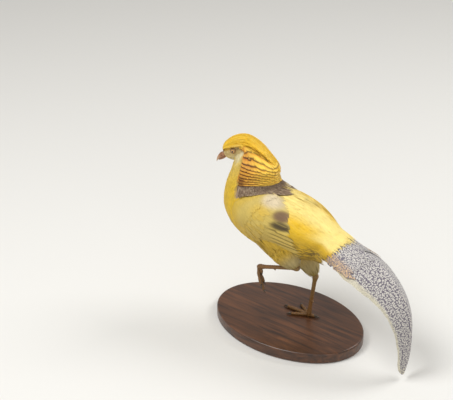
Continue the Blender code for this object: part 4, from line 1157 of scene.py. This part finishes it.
def wing_coverts(side):
    """Greater, median and lesser coverts: soft overlapping feathers, smaller and denser towards the shoulder."""
    kinds = []
    # rows from the rear: start and length as shares of the loft, how many, width in mm, height at the tip in mm
    rows = ((0.0, 0.115, 22, 9.0, 1.9), (0.17, 0.10, 24, 8.4, 2.0), (0.33, 0.090, 26, 7.8, 2.1), (0.48, 0.080, 28, 7.2, 2.2))
    for row, (share, length, count, width, high) in enumerate(rows):
        angle = np.linspace(14, 107, count) + DRAW.normal(0, 0.8, count)
        front = np.interp(angle, *zip(*WING_FRONT))
        start = 0.465 + 0.02 * ease((angle - 30) / 40) + (front - 0.465) * share + DRAW.normal(0, 0.004, count)
        root = np.stack([start, side * angle], 1)
        turned = 3.5 + 5 * ease((angle - 40) / 40)
        tip = np.stack([start - length * (1 + DRAW.normal(0, 0.05, count)), side * (angle + turned)], 1)
        high = (high + DRAW.normal(0, 0.16, count)) * MM * low_to_back(angle)
        lift = np.stack([0.25 * high, 0.82 * high, high], axis=1)
        made = vanes(body_point, root, tip, width * MM, lift, rows=11, columns=7, tilt=side * 0.12 * MM, camber=4.0,
                     thick=0.2 * MM, rounding=0.6 * MM, fray=0.4 * MM, outline=SOFT)
        points, faces, across, along, where = made
        colour = side_colour(where[..., 0], where[..., 1])
        deep = 0.3 * (DRAW.random((count, 1)) < 0.35) * ease((np.abs(where[..., 1]) - 40) / 15)
        colour = mixed(colour, mixed(RUMP_GOLD, KHAKI, 0.55), deep * ease((along - 0.2) / 0.5))
        colour = mixed(colour, KHAKI, 0.12 * ease((np.abs(2 * across - 1) - 0.7) / 0.3) * ease((angle - 42) / 10)[:, None])
        # each covert a little lighter or darker at random, and painted shade: darker towards its root, where the row
        # over it overlaps it
        colour = colour * (shades(count, 0.05) * (0.92 + 0.1 * along)[:, None])
        index = np.arange(count)
        home = np.stack([(index + 0.5) / 30, 0.50 + 0.10 * row + 0.0 * index], axis=1)
        kinds.append(tufts(points, faces, colour, across, along, home, (0.028, 0.08)))
    count = 1500
    angle = DRAW.uniform(12, 110, count)
    front = np.interp(angle, *zip(*WING_FRONT))
    start = front + 0.018 - (front - 0.47) * DRAW.random(count) ** 1.3 * 0.72
    root = np.stack([start, side * angle], 1)
    tip = np.stack([start - DRAW.uniform(0.04, 0.065, count), side * (angle + DRAW.normal(3, 1.5, count))], 1)
    depth = ease((front + 0.018 - start) / 0.09)
    high = (1.3 + 1.2 * depth * low_to_back(angle) + 0.3 * DRAW.random(count)) * MM
    lift = np.stack([high * 0.1 - 0.5 * MM, high * 0.8, high], axis=1)
    width = DRAW.uniform(2.4, 3.6, count) * MM
    points, faces, across, along, where = strands(body_point, root, tip, width, lift, rows=6, outline=SOFT)
    colour = side_colour(where[..., 0], where[..., 1])
    # each strand a little lighter or darker at random, and painted shade: darker towards its root, where the strands
    # over it overlap it
    colour = colour * (shades(count, 0.05) * (0.92 + 0.1 * along)[:, None])
    home = np.stack([angle / 120, 0.93 + 0.2 * (start - 0.4)], axis=1)
    kinds.append(tufts(points, faces, colour, across, along, home, (0.003, 0.003)))
    return kinds


# Tail

# Tail feathers of one side, from the middle pair outwards: where the middle of the vane lies across the roof
# at its root and tip, how far it reaches along it, its width in cm and its depth under the roof in mm
TAIL_FEATHERS = (
    (0.36, 0.34, 1.00, 3.0, 0.0),
    (0.50, 0.55, 0.86, 2.7, 0.7),
    (0.56, 0.66, 0.72, 2.6, 1.4),
    (0.60, 0.74, 0.59, 2.5, 2.1),
    (0.64, 0.82, 0.48, 2.4, 2.8),
    (0.68, 0.90, 0.38, 2.3, 3.5),
)
BLADE = ((0, 0.12, 0.4, 0.75, 0.92, 0.975, 1), (0.55, 0.95, 1, 0.78, 0.6, 0.4, 0.12))


def make_tail():
    """Long blades in graded pairs, the middle pair uppermost."""
    kinds = []
    rows, columns = 54, 15
    index = 0
    for side in SIDES.values():
        for root, tip, reach, width, depth in TAIL_FEATHERS:
            deep = -(depth + 0.45 + (0.5 if side < 0 else 0)) * MM
            along, across = np.linspace(0, 1, rows), np.linspace(-1, 1, columns)
            place = along * reach
            roof = smooth_rows(TAIL, place)[:, 4]
            middle = root + (tip - root) * along
            ragged = 1 + 0.02 * np.interp(along * 40, np.arange(41), DRAW.standard_normal(41))
            half = width / 2 * np.interp(along, *BLADE) * ragged / np.maximum(roof, 0.8)
            inner = np.maximum(middle - half, -0.03)
            spread = -side * (inner[:, None] + (middle + half - inner)[:, None] * (across + 1) / 2)
            shaft = np.exp(-((across / 0.08) ** 2)) * 0.25 * MM
            shell = np.interp(along, (0, 0.8, 1), (0.5, 0.4, 0.3))[:, None] * MM / 2
            places = np.repeat(place, columns)
            faces = [
                tail_point(places, spread.ravel(), (deep + shaft + way * shell + 0 * spread).ravel()) for way in (1, -1)
            ]
            points = np.concatenate(faces)[None]
            # the pattern has a real size, so the map keeps the vane's shape: 40 mm wide and the tail's length long
            wide = width * np.interp(along, *BLADE)[:, None] * (across / 2)
            u = np.tile((0.5 + wide / 4.0).ravel(), 2)[None]
            v = np.tile(np.repeat(along * reach, columns), 2)[None]
            along, across = np.tile(np.repeat(along, columns), 2)[None], np.tile(np.tile(across, rows), 2)[None]
            rim = ease((np.abs(np.tile(spread.ravel(), 2)[None]) - 0.93) / 0.06)
            ground = mixed(SILVER, srgb("#DFD8BE"), ease((along - 0.92) / 0.08) + 0.8 * rim)
            ground = mixed(ground, srgb("#C9B27C"), 0.6 * ease((0.22 - along * reach) / 0.12) * ease((root + 0.1 * across - 0.45) / 0.2))
            offset = 0.37 * index  # so that no two vanes have the same pattern
            home = np.array([[(index + 0.5) / 12, 0.5 - 0.96 * offset]])
            kinds.append(tufts(points, slab_faces(rows, columns), ground, u, v + offset, home, (0.08, 0.96), 1 - 0.75 * rim))
            index += 1
    piece("tail_feathers", TAIL_FEATHER, kinds, ["tail"])
    make_tail_coverts()


def make_tail_coverts():
    """Silver coverts from the rump over the tail's root, tinged with tan at its sides."""
    count = 64
    angle = np.linspace(-124, 124, count) + DRAW.normal(0, 1.5, count)
    reach = DRAW.uniform(0.20, 0.33, count)
    root = np.stack([0.135 + 0 * angle, angle], 1)
    tip = np.stack([0.135 - reach, np.clip(angle, -74, 74)], 1)
    lift = np.array((-2.0, -0.4, 0.2, 0.5)) * MM + DRAW.uniform(0, 0.5, (count, 1)) * MM
    made = vanes(rump_point, root, tip, 9.5 * MM, lift, rows=18, columns=7, outline=SOFT, thick=0.25 * MM, fray=1.2 * MM)
    points, faces, over, along, where = made
    colour = mixed(SILVER, srgb("#D6AE78"), 0.85 * ease((np.abs(where[..., 1]) - 52) / 22))
    home, patch = cells(count, 16)
    # the pattern has a real size: the map is 40 mm wide and 300 mm long
    u = 0.5 + (over - 0.5) * 9.5 / 40 + 0 * reach[:, None]
    first = DRAW.uniform(0, 0.7, (count, 1))
    v = first + along * 0.22
    size = (patch[0] / 0.24, patch[1] / 0.22)
    home = home - np.column_stack([0 * reach, (first[:, 0] + 0.11 - 0.5) * size[1]])
    kinds = [tufts(points, faces, colour * shades(count, 0.05), u, v, home, size)]
    piece("tail_coverts", TAIL_FEATHER, kinds)


# Head


def in_head(points):
    return [HEAD @ (Vector(p) * CM) for p in points]


def painted(name, mesh, colour_of):
    """Give a mesh its tint from a function of its points."""
    points = np.empty(len(mesh.vertices) * 3)
    mesh.vertices.foreach_get("co", points)
    tint = colour_of(points.reshape(-1, 3))
    colours = mesh.attributes.new("tint", "FLOAT_COLOR", "POINT")
    colours.data.foreach_set("color", np.column_stack([tint, np.ones(len(tint))]).astype(np.float32).ravel())
    return mesh


def bill_shape(rows, way, bow):
    """Half a bill: arched on one side, up or down, and nearly flat on the other, with the nostrils pressed in."""
    rings = []
    for forward, level, half, reach in smooth_rows(rows, np.linspace(0, 1, 30)):
        arch = np.radians(np.linspace(0, 180, 25))
        ring = [(forward, half * math.cos(a), level + way * reach * math.sin(a) ** 0.9) for a in arch]
        ring += [(forward, half * share, level + way * bow * half) for share in (-0.6, -0.2, 0.2, 0.6)]
        if way > 0:
            for index, (x, y, z) in enumerate(ring):
                near = math.exp(-(((x - 2.52) / 0.17) ** 2) - (((z - level - 0.27) / 0.07) ** 2))
                ring[index] = (x, y - math.copysign(0.10, y) * near * (abs(y) > 0.12), z)
        rings.append(in_head(ring))
    return skinned(rings)


def make_bill():
    horn, tip, dark = srgb("#A0704E"), srgb("#BE9C7A"), srgb("#543A2C")

    def colour(points):
        spots = into_head(points) / CM
        base = mixed(horn, tip, ease((spots[:, 0] - 2.7) / 0.9))
        ridge = ease((spots[:, 2] + 0.10) / 0.25) * ease((3.3 - spots[:, 0]) / 0.5)
        base = mixed(base, dark, 0.35 * ridge)
        # painted shade: the nostril's pit is darkened
        pit = np.exp(-(((spots[:, 0] - 2.52) / 0.16) ** 2) - (((spots[:, 2] + 0.235) / 0.065) ** 2))
        return mixed(base, dark * 0.5, 0.95 * pit)

    for name, rows, way in (("bill_upper", UPPER_BILL, 1), ("bill_lower", LOWER_BILL, -1)):
        mesh = painted(name, as_mesh(f"{name}_horn", bill_shape(rows, way, 0.08)), colour)
        placed(f"{name}_horn", mesh, HORN, [name])


def make_eyes():
    """Glass eyes with a pale ringed iris and a small pupil, and the bare lids about them."""
    iris, rim, pupil = srgb("#D9A566"), srgb("#8C5A2C"), srgb("#050302")
    lid_skin, lid_edge = srgb("#A98558"), srgb("#553420")
    for name, side in SIDES.items():
        axis = Vector((math.sin(0.2), side * math.cos(0.2), 0))
        turn = Vector((0, 0, 1)).rotation_difference(axis).to_matrix().to_4x4()
        centre = Vector((0, side * EYE_SIDE, 0))
        ball = bmesh.new()
        bmesh.ops.create_uvsphere(ball, u_segments=48, v_segments=32, radius=EYE_RADIUS)
        ball.transform(HEAD @ Matrix.Translation(centre) @ turn)
        looks = (HEAD.to_3x3() @ axis).normalized()
        middle = HEAD @ centre

        def colour(points):
            rays = (points - np.array(middle)) / EYE_RADIUS
            away = np.degrees(np.arccos(np.clip(rays @ np.array(looks), -1, 1)))
            base = mixed(pupil, iris, ease((away - 17) / 2.5))
            base = mixed(base, iris * 0.7, 0.6 * ease((24 - away) / 6) * ease((away - 18) / 2))
            return mixed(base, rim, ease((away - 34) / 6))

        mesh = painted(name, as_mesh(f"eyeball_{name}", ball), colour)
        placed(f"eyeball_{name}", mesh, GLASS_EYE, [f"eye_{name}"])

        # The lids' section, as radius and height over the eye's middle, in mm
        section = ((3.05, 3.85), (3.12, 4.15), (3.3, 4.25), (3.6, 4.1), (3.95, 3.7), (4.35, 3.1), (4.9, 2.1))
        lids = bmesh.new()
        corners = [lids.verts.new((r * MM, 0, h * MM)) for r, h in section]
        edges = [lids.edges.new(pair) for pair in zip(corners, corners[1:])]
        bmesh.ops.spin(
            lids, geom=corners + edges, cent=(0, 0, 0), axis=(0, 0, 1), dvec=(0, 0, 0), angle=2 * math.pi, steps=56,
            use_merge=True, use_duplicate=False,
        )
        for vertex in lids.verts:
            round_eye = math.atan2(vertex.co.y, vertex.co.x)
            reach = math.hypot(vertex.co.x, vertex.co.y) / MM
            fold = 0.08 * math.sin(round_eye * 17) * math.exp(-(((reach - 3.7) / 0.6) ** 2))
            vertex.co.z += fold * MM
            vertex.co.x *= 1.06 + 0.06 * ease((reach - 3.2) / 1.2)
            vertex.co.y *= 0.94 - 0.03 * math.cos(2 * round_eye)
        lids.transform(HEAD @ Matrix.Translation(centre) @ turn)
        bmesh.ops.recalc_face_normals(lids, faces=lids.faces)

        def lid_colour(points):
            rays = points - np.array(middle)
            off = rays - np.outer(rays @ np.array(looks), looks)
            reach = np.linalg.norm(off, axis=1) / MM
            return mixed(lid_edge, lid_skin, ease((reach - 2.9) / 1.2))

        mesh = painted(name, as_mesh(f"lids_{name}", lids), lid_colour)
        item = placed(f"lids_{name}", mesh, BARE_SKIN)
        wall = item.modifiers.new("wall", "SOLIDIFY")
        wall.thickness = 0.3 * MM
        wall.offset = -1


# Legs


def shank_axes(name):
    """A shank's hock, its length, and its ways down, to its front and across."""
    _, hock, root = (Vector(p) * CM for p in LEGS[name])
    way = (root - hock).normalized()
    front = way.cross(Vector((0, 1, 0))).normalized()
    if front.x > 0:
        front = -front
    return hock, (root - hock).length, way, front, way.cross(front)


def scaly_tube(path, radii, fronts, plates, sides=20, relief=0.35 * MM, flat=1.0):
    """A scaled limb along a path with overlapping plates down its front. Fronts is the front's way at each point."""
    path = np.array(path, float)
    steps = np.linalg.norm(np.diff(path, axis=0), axis=1)
    reach = np.concatenate([[0], np.cumsum(steps)])
    count = max(int(plates * 5), 12)
    at = np.linspace(0, reach[-1], count + 1)
    centre = np.stack([np.interp(at, reach, path[:, i]) for i in range(3)], 1)
    size = np.interp(at, reach, radii)
    front = np.stack([np.interp(at, reach, np.array(fronts, float)[:, i]) for i in range(3)], 1)
    way = np.gradient(centre, axis=0)
    way /= np.linalg.norm(way, axis=1, keepdims=True)
    front -= way * (front * way).sum(1, keepdims=True)
    front /= np.linalg.norm(front, axis=1, keepdims=True)
    side = np.cross(way, front)
    step = (at / reach[-1] * plates) % 1
    rings = []
    for c, r, f, s, t in zip(centre, size, front, side, step):
        ring = []
        for turn in np.arange(sides) * 2 * np.pi / sides:
            facing = max(math.cos(turn), 0) ** 0.7
            radius = r + relief * facing * (t - 0.4)
            ring.append(c + f * radius * math.cos(turn) * flat + s * radius * math.sin(turn))
        rings.append(ring)
    return skinned(rings)


def joined_mesh(name, shapes):
    whole = bmesh.new()
    for shape in shapes:
        mesh = as_mesh("part", shape)
        whole.from_mesh(mesh)
        bpy.data.meshes.remove(mesh)
    return as_mesh(name, whole)


def make_legs():
    tan, amber, dark = srgb("#8A6A34"), srgb("#835A2A"), srgb("#57401F")
    for name in LEGS:
        hock, long, way, front, side = shank_axes(name)
        places = (-4, -1.5, 2, 6, 11)
        heights = [p * MM for p in places] + [long / 2, long - 8 * MM, long - 2 * MM, long + 1.5 * MM]
        radii = [r * MM for r in (3.4, 5.0, 5.2, 4.1, 3.4, 3.1, 3.2, 3.9, 4.3)]
        path = [hock + way * h for h in heights]
        shank = scaly_tube(path, radii, [front] * len(path), 17, sides=24, relief=0.45 * MM)
        inward = side if side.y * SIDES[name] > 0 else -side
        out = (inward * 0.45 - front).normalized()
        start = hock + way * long * 0.66
        spur = scaly_tube(
            [start, start + out * 4.5 * MM, start + out * 7.5 * MM], (1.9 * MM, 1.5 * MM, 0.4 * MM), [way] * 3, 3, 10, 0
        )

        def colour(points, hock=hock, way=way, long=long):
            share = (points - np.array(hock)) @ np.array(way) / long
            return mixed(mixed(tan, amber, ease(share * 1.3)), dark, 0.35 * ease((share - 0.8) / 0.3))

        mesh = painted(name, joined_mesh(f"tarsus_{name}_scales", [shank, spur]), colour)
        placed(f"tarsus_{name}_scales", mesh, SCALES, [f"tarsus_{name}"])
        make_foot(name, amber, dark)


def toe_paths(name):
    """Each toe's middle line, radii and upper side, up to its claw, and the claw's own."""
    _, hock, root = (Vector(p) * CM for p in LEGS[name])
    way = (root - hock).normalized()
    outer = -SIDES[name]
    floor = PLINTH_HEIGHT + 0.35 * MM
    toes = []
    for turn, length in TOES:
        points, radii, ups = [], [], []
        if name == "right":
            start = Vector((root.x - 0.1 * CM, root.y, floor))
            ahead = Vector((-math.cos(math.radians(turn) * outer), math.sin(math.radians(turn) * outer), 0))
            for share in np.linspace(0, 0.96, 13):
                radius = (3.1 - 0.9 * share) * MM * (1 + 0.10 * math.cos(share * 2 * math.pi * 3))
                lift = radius * 0.87 + max(0.2 - share, 0) * 7 * MM
                points.append(start + ahead * length * CM * share + Vector((0, 0, lift)))
                radii.append(radius)
                ups.append(Vector((0, 0, 1)))
            end = points[-1]
            claw = [end + ahead * s * MM + Vector((0, 0, z * MM)) for s, z in ((-1.5, 0.3), (1.5, 0.5), (4, 0.1), (6.5, -0.9), (8.5, -1.5))]
            claw_up = [Vector((0, 0, 1))] * 5
        else:
            front = length > 2
            spread = math.radians(turn) * 0.45 * outer
            place = root + way * 5 * MM
            points.append(place.copy())
            radii.append(3.2 * MM)
            ups.append(Vector((-1, 0, 0.3)))
            for step in range(1, 14):
                share = step / 13 * 0.84
                bend = math.radians(80 + 22 * math.sin(share * math.pi) + 30 * share * share if front else 30 + 70 * share)
                ahead = Vector((-math.cos(bend), math.sin(spread) * 0.6, -math.sin(bend)))
                if not front:
                    ahead = Vector((math.cos(bend), 0, -math.sin(bend)))
                ahead.normalize()
                place = place + ahead * length * CM * 1.15 * 0.84 / 13
                points.append(place.copy())
                radii.append((3.0 - 0.9 * share) * MM * (1 + 0.10 * math.cos(share * 2 * math.pi * 3)))
                ups.append(Vector((-ahead.z, 0, ahead.x)) * (-1 if front else 1))
            end = points[-1]
            down = Vector((ahead.z, 0, -ahead.x)) * (-1 if front else 1)
            claw = [end + ahead * s * MM + down * -z * MM for s, z in ((-1.5, 0.2), (1.2, 0.4), (3.2, 0.1), (5.2, -0.7), (6.6, -1.4))]
            claw_up = [-down] * 5
        toes.append((points, radii, ups, claw, claw_up))
    return toes


def make_foot(name, amber, dark):
    _, hock, root = (Vector(p) * CM for p in LEGS[name])
    way = (root - hock).normalized()
    shapes, claws = [], []
    for (points, radii, ups, claw, claw_up), (turn, length) in zip(toe_paths(name), TOES):
        plates = max(int(length * 3.4), 4)
        shapes.append(scaly_tube(points, radii, ups, plates, sides=16, relief=0.4 * MM))
        tip = radii[-1] / MM
        claws.append(scaly_tube(claw, [r * MM for r in (0.80 * tip, 0.80 * tip, 0.62 * tip, 0.36 * tip, 0.08 * tip)], claw_up, 3, sides=12, relief=0))
    pad = [root - way * 1.0 * MM, root + way * 2 * MM, root + way * 5 * MM, root + way * 8 * MM]
    shapes.append(scaly_tube(pad, [4.1 * MM, 4.4 * MM, 4.2 * MM, 2.6 * MM], [Vector((-1, 0, 0.2))] * 4, 3, sides=20, relief=0.2 * MM))
    foot, nails = joined_mesh(f"foot_{name}_scales", shapes), joined_mesh(f"claws_{name}", claws)
    if name == "right":
        for mesh in (foot, nails):
            for vertex in mesh.vertices:
                vertex.co.z = max(vertex.co.z, PLINTH_HEIGHT + 0.05 * MM)
    placed(foot.name, painted(name, foot, lambda p: mixed(amber, dark, 0.3 + 0 * p[:, 0])), SCALES, [f"foot_{name}"])
    placed(nails.name, painted(name, nails, lambda p: srgb("#4A3C2E") + 0 * p), HORN)


# Plinth, floor, light and camera


def make_plinth():
    """Turned oval plinth with softened edges."""
    shape = bmesh.new()
    bmesh.ops.create_circle(shape, cap_ends=True, radius=1.0, segments=128)
    bmesh.ops.scale(shape, verts=shape.verts, vec=(PLINTH_HALF_LENGTH, PLINTH_HALF_WIDTH, 1))
    raised = bmesh.ops.extrude_face_region(shape, geom=shape.faces[:])
    top = [item for item in raised["geom"] if isinstance(item, bmesh.types.BMVert)]
    bmesh.ops.translate(shape, verts=top, vec=(0, 0, PLINTH_HEIGHT))
    rims = [edge for edge in shape.edges if len({round(v.co.z, 5) for v in edge.verts}) == 1]
    bmesh.ops.bevel(shape, geom=rims, offset=PLINTH_ROUNDING, segments=6, profile=0.5, affect="EDGES", material=-1)
    bmesh.ops.recalc_face_normals(shape, faces=shape.faces)
    mesh = as_mesh("plinth", shape)
    mesh.set_sharp_from_angle(angle=math.radians(40))
    placed("plinth", mesh, STAINED_BEECH, ["stand_base"])


def make_floor():
    shape = bmesh.new()
    bmesh.ops.create_grid(shape, x_segments=1, y_segments=1, size=6.0)
    item = bpy.data.objects.new("floor", as_mesh("floor", shape))
    item.data.materials.append(FLOOR)
    bpy.context.scene.collection.objects.link(item)


PHOTO_WIDTH, PHOTO_HEIGHT = 453, 400
VIEW_TURN, VIEW_RISE = 38.0, 28.0  # the photo's viewing angle, in degrees
VIEW_DISTANCE = 2.0
VIEW_SCALE = 1240.0  # pixels for a metre at a metre's distance
AIM = Vector((0.025, 0.020, 0.018))  # the standing foot
AIM_PIXEL = (309, 316)


def make_camera():
    turn, rise = math.radians(VIEW_TURN), math.radians(VIEW_RISE)
    right = Vector((math.cos(turn), math.sin(turn), 0))
    back = Vector((math.sin(turn) * math.cos(rise), -math.cos(turn) * math.cos(rise), math.sin(rise)))
    up = back.cross(right)
    scale = VIEW_DISTANCE / VIEW_SCALE
    place = AIM + back * VIEW_DISTANCE - right * (AIM_PIXEL[0] - PHOTO_WIDTH / 2) * scale
    place += up * (AIM_PIXEL[1] - PHOTO_HEIGHT / 2) * scale
    lens = bpy.data.cameras.new("camera")
    lens.sensor_width = 36
    lens.lens = 36 * VIEW_SCALE / PHOTO_WIDTH
    camera = bpy.data.objects.new("camera", lens)
    camera.matrix_world = Matrix.Translation(place) @ Matrix((right, up, back)).transposed().to_4x4()
    bpy.context.scene.collection.objects.link(camera)
    bpy.context.scene.camera = camera


def make_light(name, place, aim, size, power):
    lamp = bpy.data.lights.new(name, "AREA")
    lamp.shape = "DISK"
    lamp.size = size
    lamp.energy = power
    item = bpy.data.objects.new(name, lamp)
    way = Vector(aim) - Vector(place)
    item.matrix_world = Matrix.Translation(place) @ way.to_track_quat("-Z", "Y").to_matrix().to_4x4()
    bpy.context.scene.collection.objects.link(item)


def make_surroundings():
    make_floor()
    make_camera()
    middle = (0.02, 0, 0.18)
    make_light("key", (-0.6, -1.0, 2.1), middle, 1.2, 32)
    make_light("fill", (1.6, -1.2, 0.9), middle, 1.4, 6)
    make_light("rim", (0.9, 1.2, 1.7), middle, 1.0, 18)
    world = bpy.data.worlds.new("studio")
    bpy.context.scene.world = world
    world.use_nodes = True
    world.node_tree.nodes["Background"].inputs["Color"].default_value = (0.93, 0.91, 0.88, 1)
    world.node_tree.nodes["Background"].inputs["Strength"].default_value = 0.5
    bpy.context.scene.view_settings.view_transform = "Standard"


def tinted_finish(name, bumps, distance, **sockets):
    """A material whose colour comes with the mesh, with a fine bump of a real size in mm."""
    material, tree, shader = finish(name, **sockets)
    tint = add(tree, "ShaderNodeAttribute", attribute_name="tint", attribute_type="GEOMETRY")
    where = add(tree, "ShaderNodeTexCoord")
    noise = add(tree, "ShaderNodeTexNoise", {"Vector": where.outputs["Object"], "Scale": 1000 / bumps, "Detail": 3.0})
    light = add(
        tree,
        "ShaderNodeMapRange",
        {"Value": noise.outputs["Fac"], "From Min": 0.3, "From Max": 0.7, "To Min": 0.85, "To Max": 1.12},
    )
    shaded = add(
        tree, "ShaderNodeVectorMath", {0: tint.outputs["Color"], "Scale": light.outputs["Result"]}, operation="SCALE"
    )
    tree.links.new(shaded.outputs["Vector"], shader.inputs["Base Color"])
    if distance:
        bump = add(tree, "ShaderNodeBump", {"Height": noise.outputs["Fac"], "Strength": 0.5, "Distance": distance})
        tree.links.new(bump.outputs["Normal"], shader.inputs["Normal"])
    return material


def scale_finish():
    """Horny scales of leg and toe: dull satin plates in front and a net of small round scales elsewhere."""
    material, tree, shader = finish("leg_scales_keratin", Roughness=0.42)
    tint = add(tree, "ShaderNodeAttribute", attribute_name="tint", attribute_type="GEOMETRY")
    where = add(tree, "ShaderNodeTexCoord")
    net = add(
        tree, "ShaderNodeTexVoronoi", {"Vector": where.outputs["Object"], "Scale": 1000 / 1.3}, feature="DISTANCE_TO_EDGE"
    )
    grooves = add(
        tree,
        "ShaderNodeMapRange",
        {"Value": net.outputs["Distance"], "From Min": 0.0, "From Max": 0.18, "To Min": 0.62, "To Max": 1.05},
    )
    shaded = add(
        tree, "ShaderNodeVectorMath", {0: tint.outputs["Color"], "Scale": grooves.outputs["Result"]}, operation="SCALE"
    )
    tree.links.new(shaded.outputs["Vector"], shader.inputs["Base Color"])
    bump = add(tree, "ShaderNodeBump", {"Height": grooves.outputs["Result"], "Strength": 0.5, "Distance": 0.25 * MM})
    tree.links.new(bump.outputs["Normal"], shader.inputs["Normal"])
    return material


def tail_finish():
    """Silver-white vanes closely netted with dark purple-grey.

    The meshes are about 2 mm across on the real feather and drawn 2.7 mm, the finest that the picture can show.
    """
    material, tree, shader = finish("tail_keratin", Roughness=0.5, Sheen_Weight=0.15)
    shader.inputs["Specular IOR Level"].default_value = 0.35
    tint = add(tree, "ShaderNodeAttribute", attribute_name="tint", attribute_type="GEOMETRY")
    place = add(tree, "ShaderNodeUVMap", uv_map="vane")
    # the map is 40 mm wide and the tail's 300 mm long for 1
    size = add(tree, "ShaderNodeMapping", {"Vector": place.outputs["UV"], "Scale": (40 / 2.7, 300 / 2.6, 1.0)})
    warp = add(tree, "ShaderNodeTexNoise", {"Vector": size.outputs["Vector"], "Scale": 0.9, "Detail": 2.0})
    moved = add(
        tree,
        "ShaderNodeVectorMath",
        {0: warp.outputs["Color"], 1: (0.7, 0.7, 0.0), 2: size.outputs["Vector"]},
        operation="MULTIPLY_ADD",
    )
    spots = {"Vector": moved.outputs["Vector"], "Scale": 1.0, "Randomness": 0.85}
    net = add(tree, "ShaderNodeTexVoronoi", spots, feature="F1", voronoi_dimensions="2D")
    line = ramp(tree, net.outputs["Distance"], ((0.33, 0.0), (0.47, 1.0)))
    line = add(tree, "ShaderNodeMath", {0: line, 1: tint.outputs["Alpha"]}, operation="MULTIPLY").outputs["Value"]
    coloured = add(
        tree,
        "ShaderNodeMix",
        {"Factor": line, "A": tint.outputs["Color"], "B": (*NET, 1)},
        data_type="RGBA",
    )
    tree.links.new(coloured.outputs["Result"], shader.inputs["Base Color"])
    barbs = add(tree, "ShaderNodeMapping", {"Vector": place.outputs["UV"], "Scale": (18.0, 330.0, 1.0)})
    lines = add(tree, "ShaderNodeTexNoise", {"Vector": barbs.outputs["Vector"], "Scale": 1.0, "Detail": 2.0})
    bump = add(tree, "ShaderNodeBump", {"Height": lines.outputs["Fac"], "Strength": 0.35, "Distance": 0.3 * MM})
    tree.links.new(bump.outputs["Normal"], shader.inputs["Normal"])
    return material


def wood_finish():
    """Beech, turned, stained dark brown and lacquered satin: short fine flecks along a quiet grain."""
    material, tree, shader = finish("stained_beech", Roughness=0.38, Coat_Weight=0.25, Coat_Roughness=0.3)
    where = add(tree, "ShaderNodeTexCoord")
    along = add(tree, "ShaderNodeMapping", {"Vector": where.outputs["Object"], "Scale": (14.0, 160.0, 160.0)})
    grain = add(tree, "ShaderNodeTexNoise", {"Vector": along.outputs["Vector"], "Scale": 1.0, "Detail": 4.0, "Distortion": 0.6})
    colour = ramp(tree, grain.outputs["Fac"], ((0.3, srgb("#2E1B10")), (0.55, srgb("#54331D")), (0.75, srgb("#6B4226"))))
    tree.links.new(colour, shader.inputs["Base Color"])
    flecks = add(tree, "ShaderNodeMapping", {"Vector": where.outputs["Object"], "Scale": (180.0, 1200.0, 1200.0)})
    pores = add(tree, "ShaderNodeTexNoise", {"Vector": flecks.outputs["Vector"], "Scale": 1.0, "Detail": 2.0})
    bump = add(tree, "ShaderNodeBump", {"Height": pores.outputs["Fac"], "Strength": 0.25, "Distance": 0.15 * MM})
    tree.links.new(bump.outputs["Normal"], shader.inputs["Normal"])
    return material


SKIN = tinted_finish("down_covered_skin", 1.5, 0.3 * MM, Roughness=0.85)
BODY_FEATHER = feather_finish("contour_feather_keratin", 14.0, 0.3, 0.65, 0.08, mottling=0.08)
SILKY_FEATHER = feather_finish("silky_feather_keratin", 6.0, 0.3, 0.45, 0.08, mottling=0.06)
BROAD_FEATHER = feather_finish("vaned_feather_keratin", 34.0, 0.4, 0.58, 0.08, mottling=0.06)
TAIL_FEATHER = tail_finish()
HORN = tinted_finish("bill_horn", 2.0, 0.1 * MM, Roughness=0.3)
GLASS_EYE = tinted_finish("blown_glass_eye", 0.6, 0, Roughness=0.12, Coat_Weight=0.4, Coat_Roughness=0.02)
BARE_SKIN = tinted_finish("bare_eyelid_skin", 0.7, 0.15 * MM, Roughness=0.5)
SCALES = scale_finish()
STAINED_BEECH = wood_finish()
FLOOR = finish("matt_paper", Roughness=0.9, Base_Color=(*srgb("#E4E3DF"), 1))[0]

skin_tree = make_coat()
make_rump()
make_flanks(skin_tree)
make_cape()
make_crest()
make_wings()
make_tail()
make_bill()
make_eyes()
make_legs()
make_plinth()
make_surroundings()
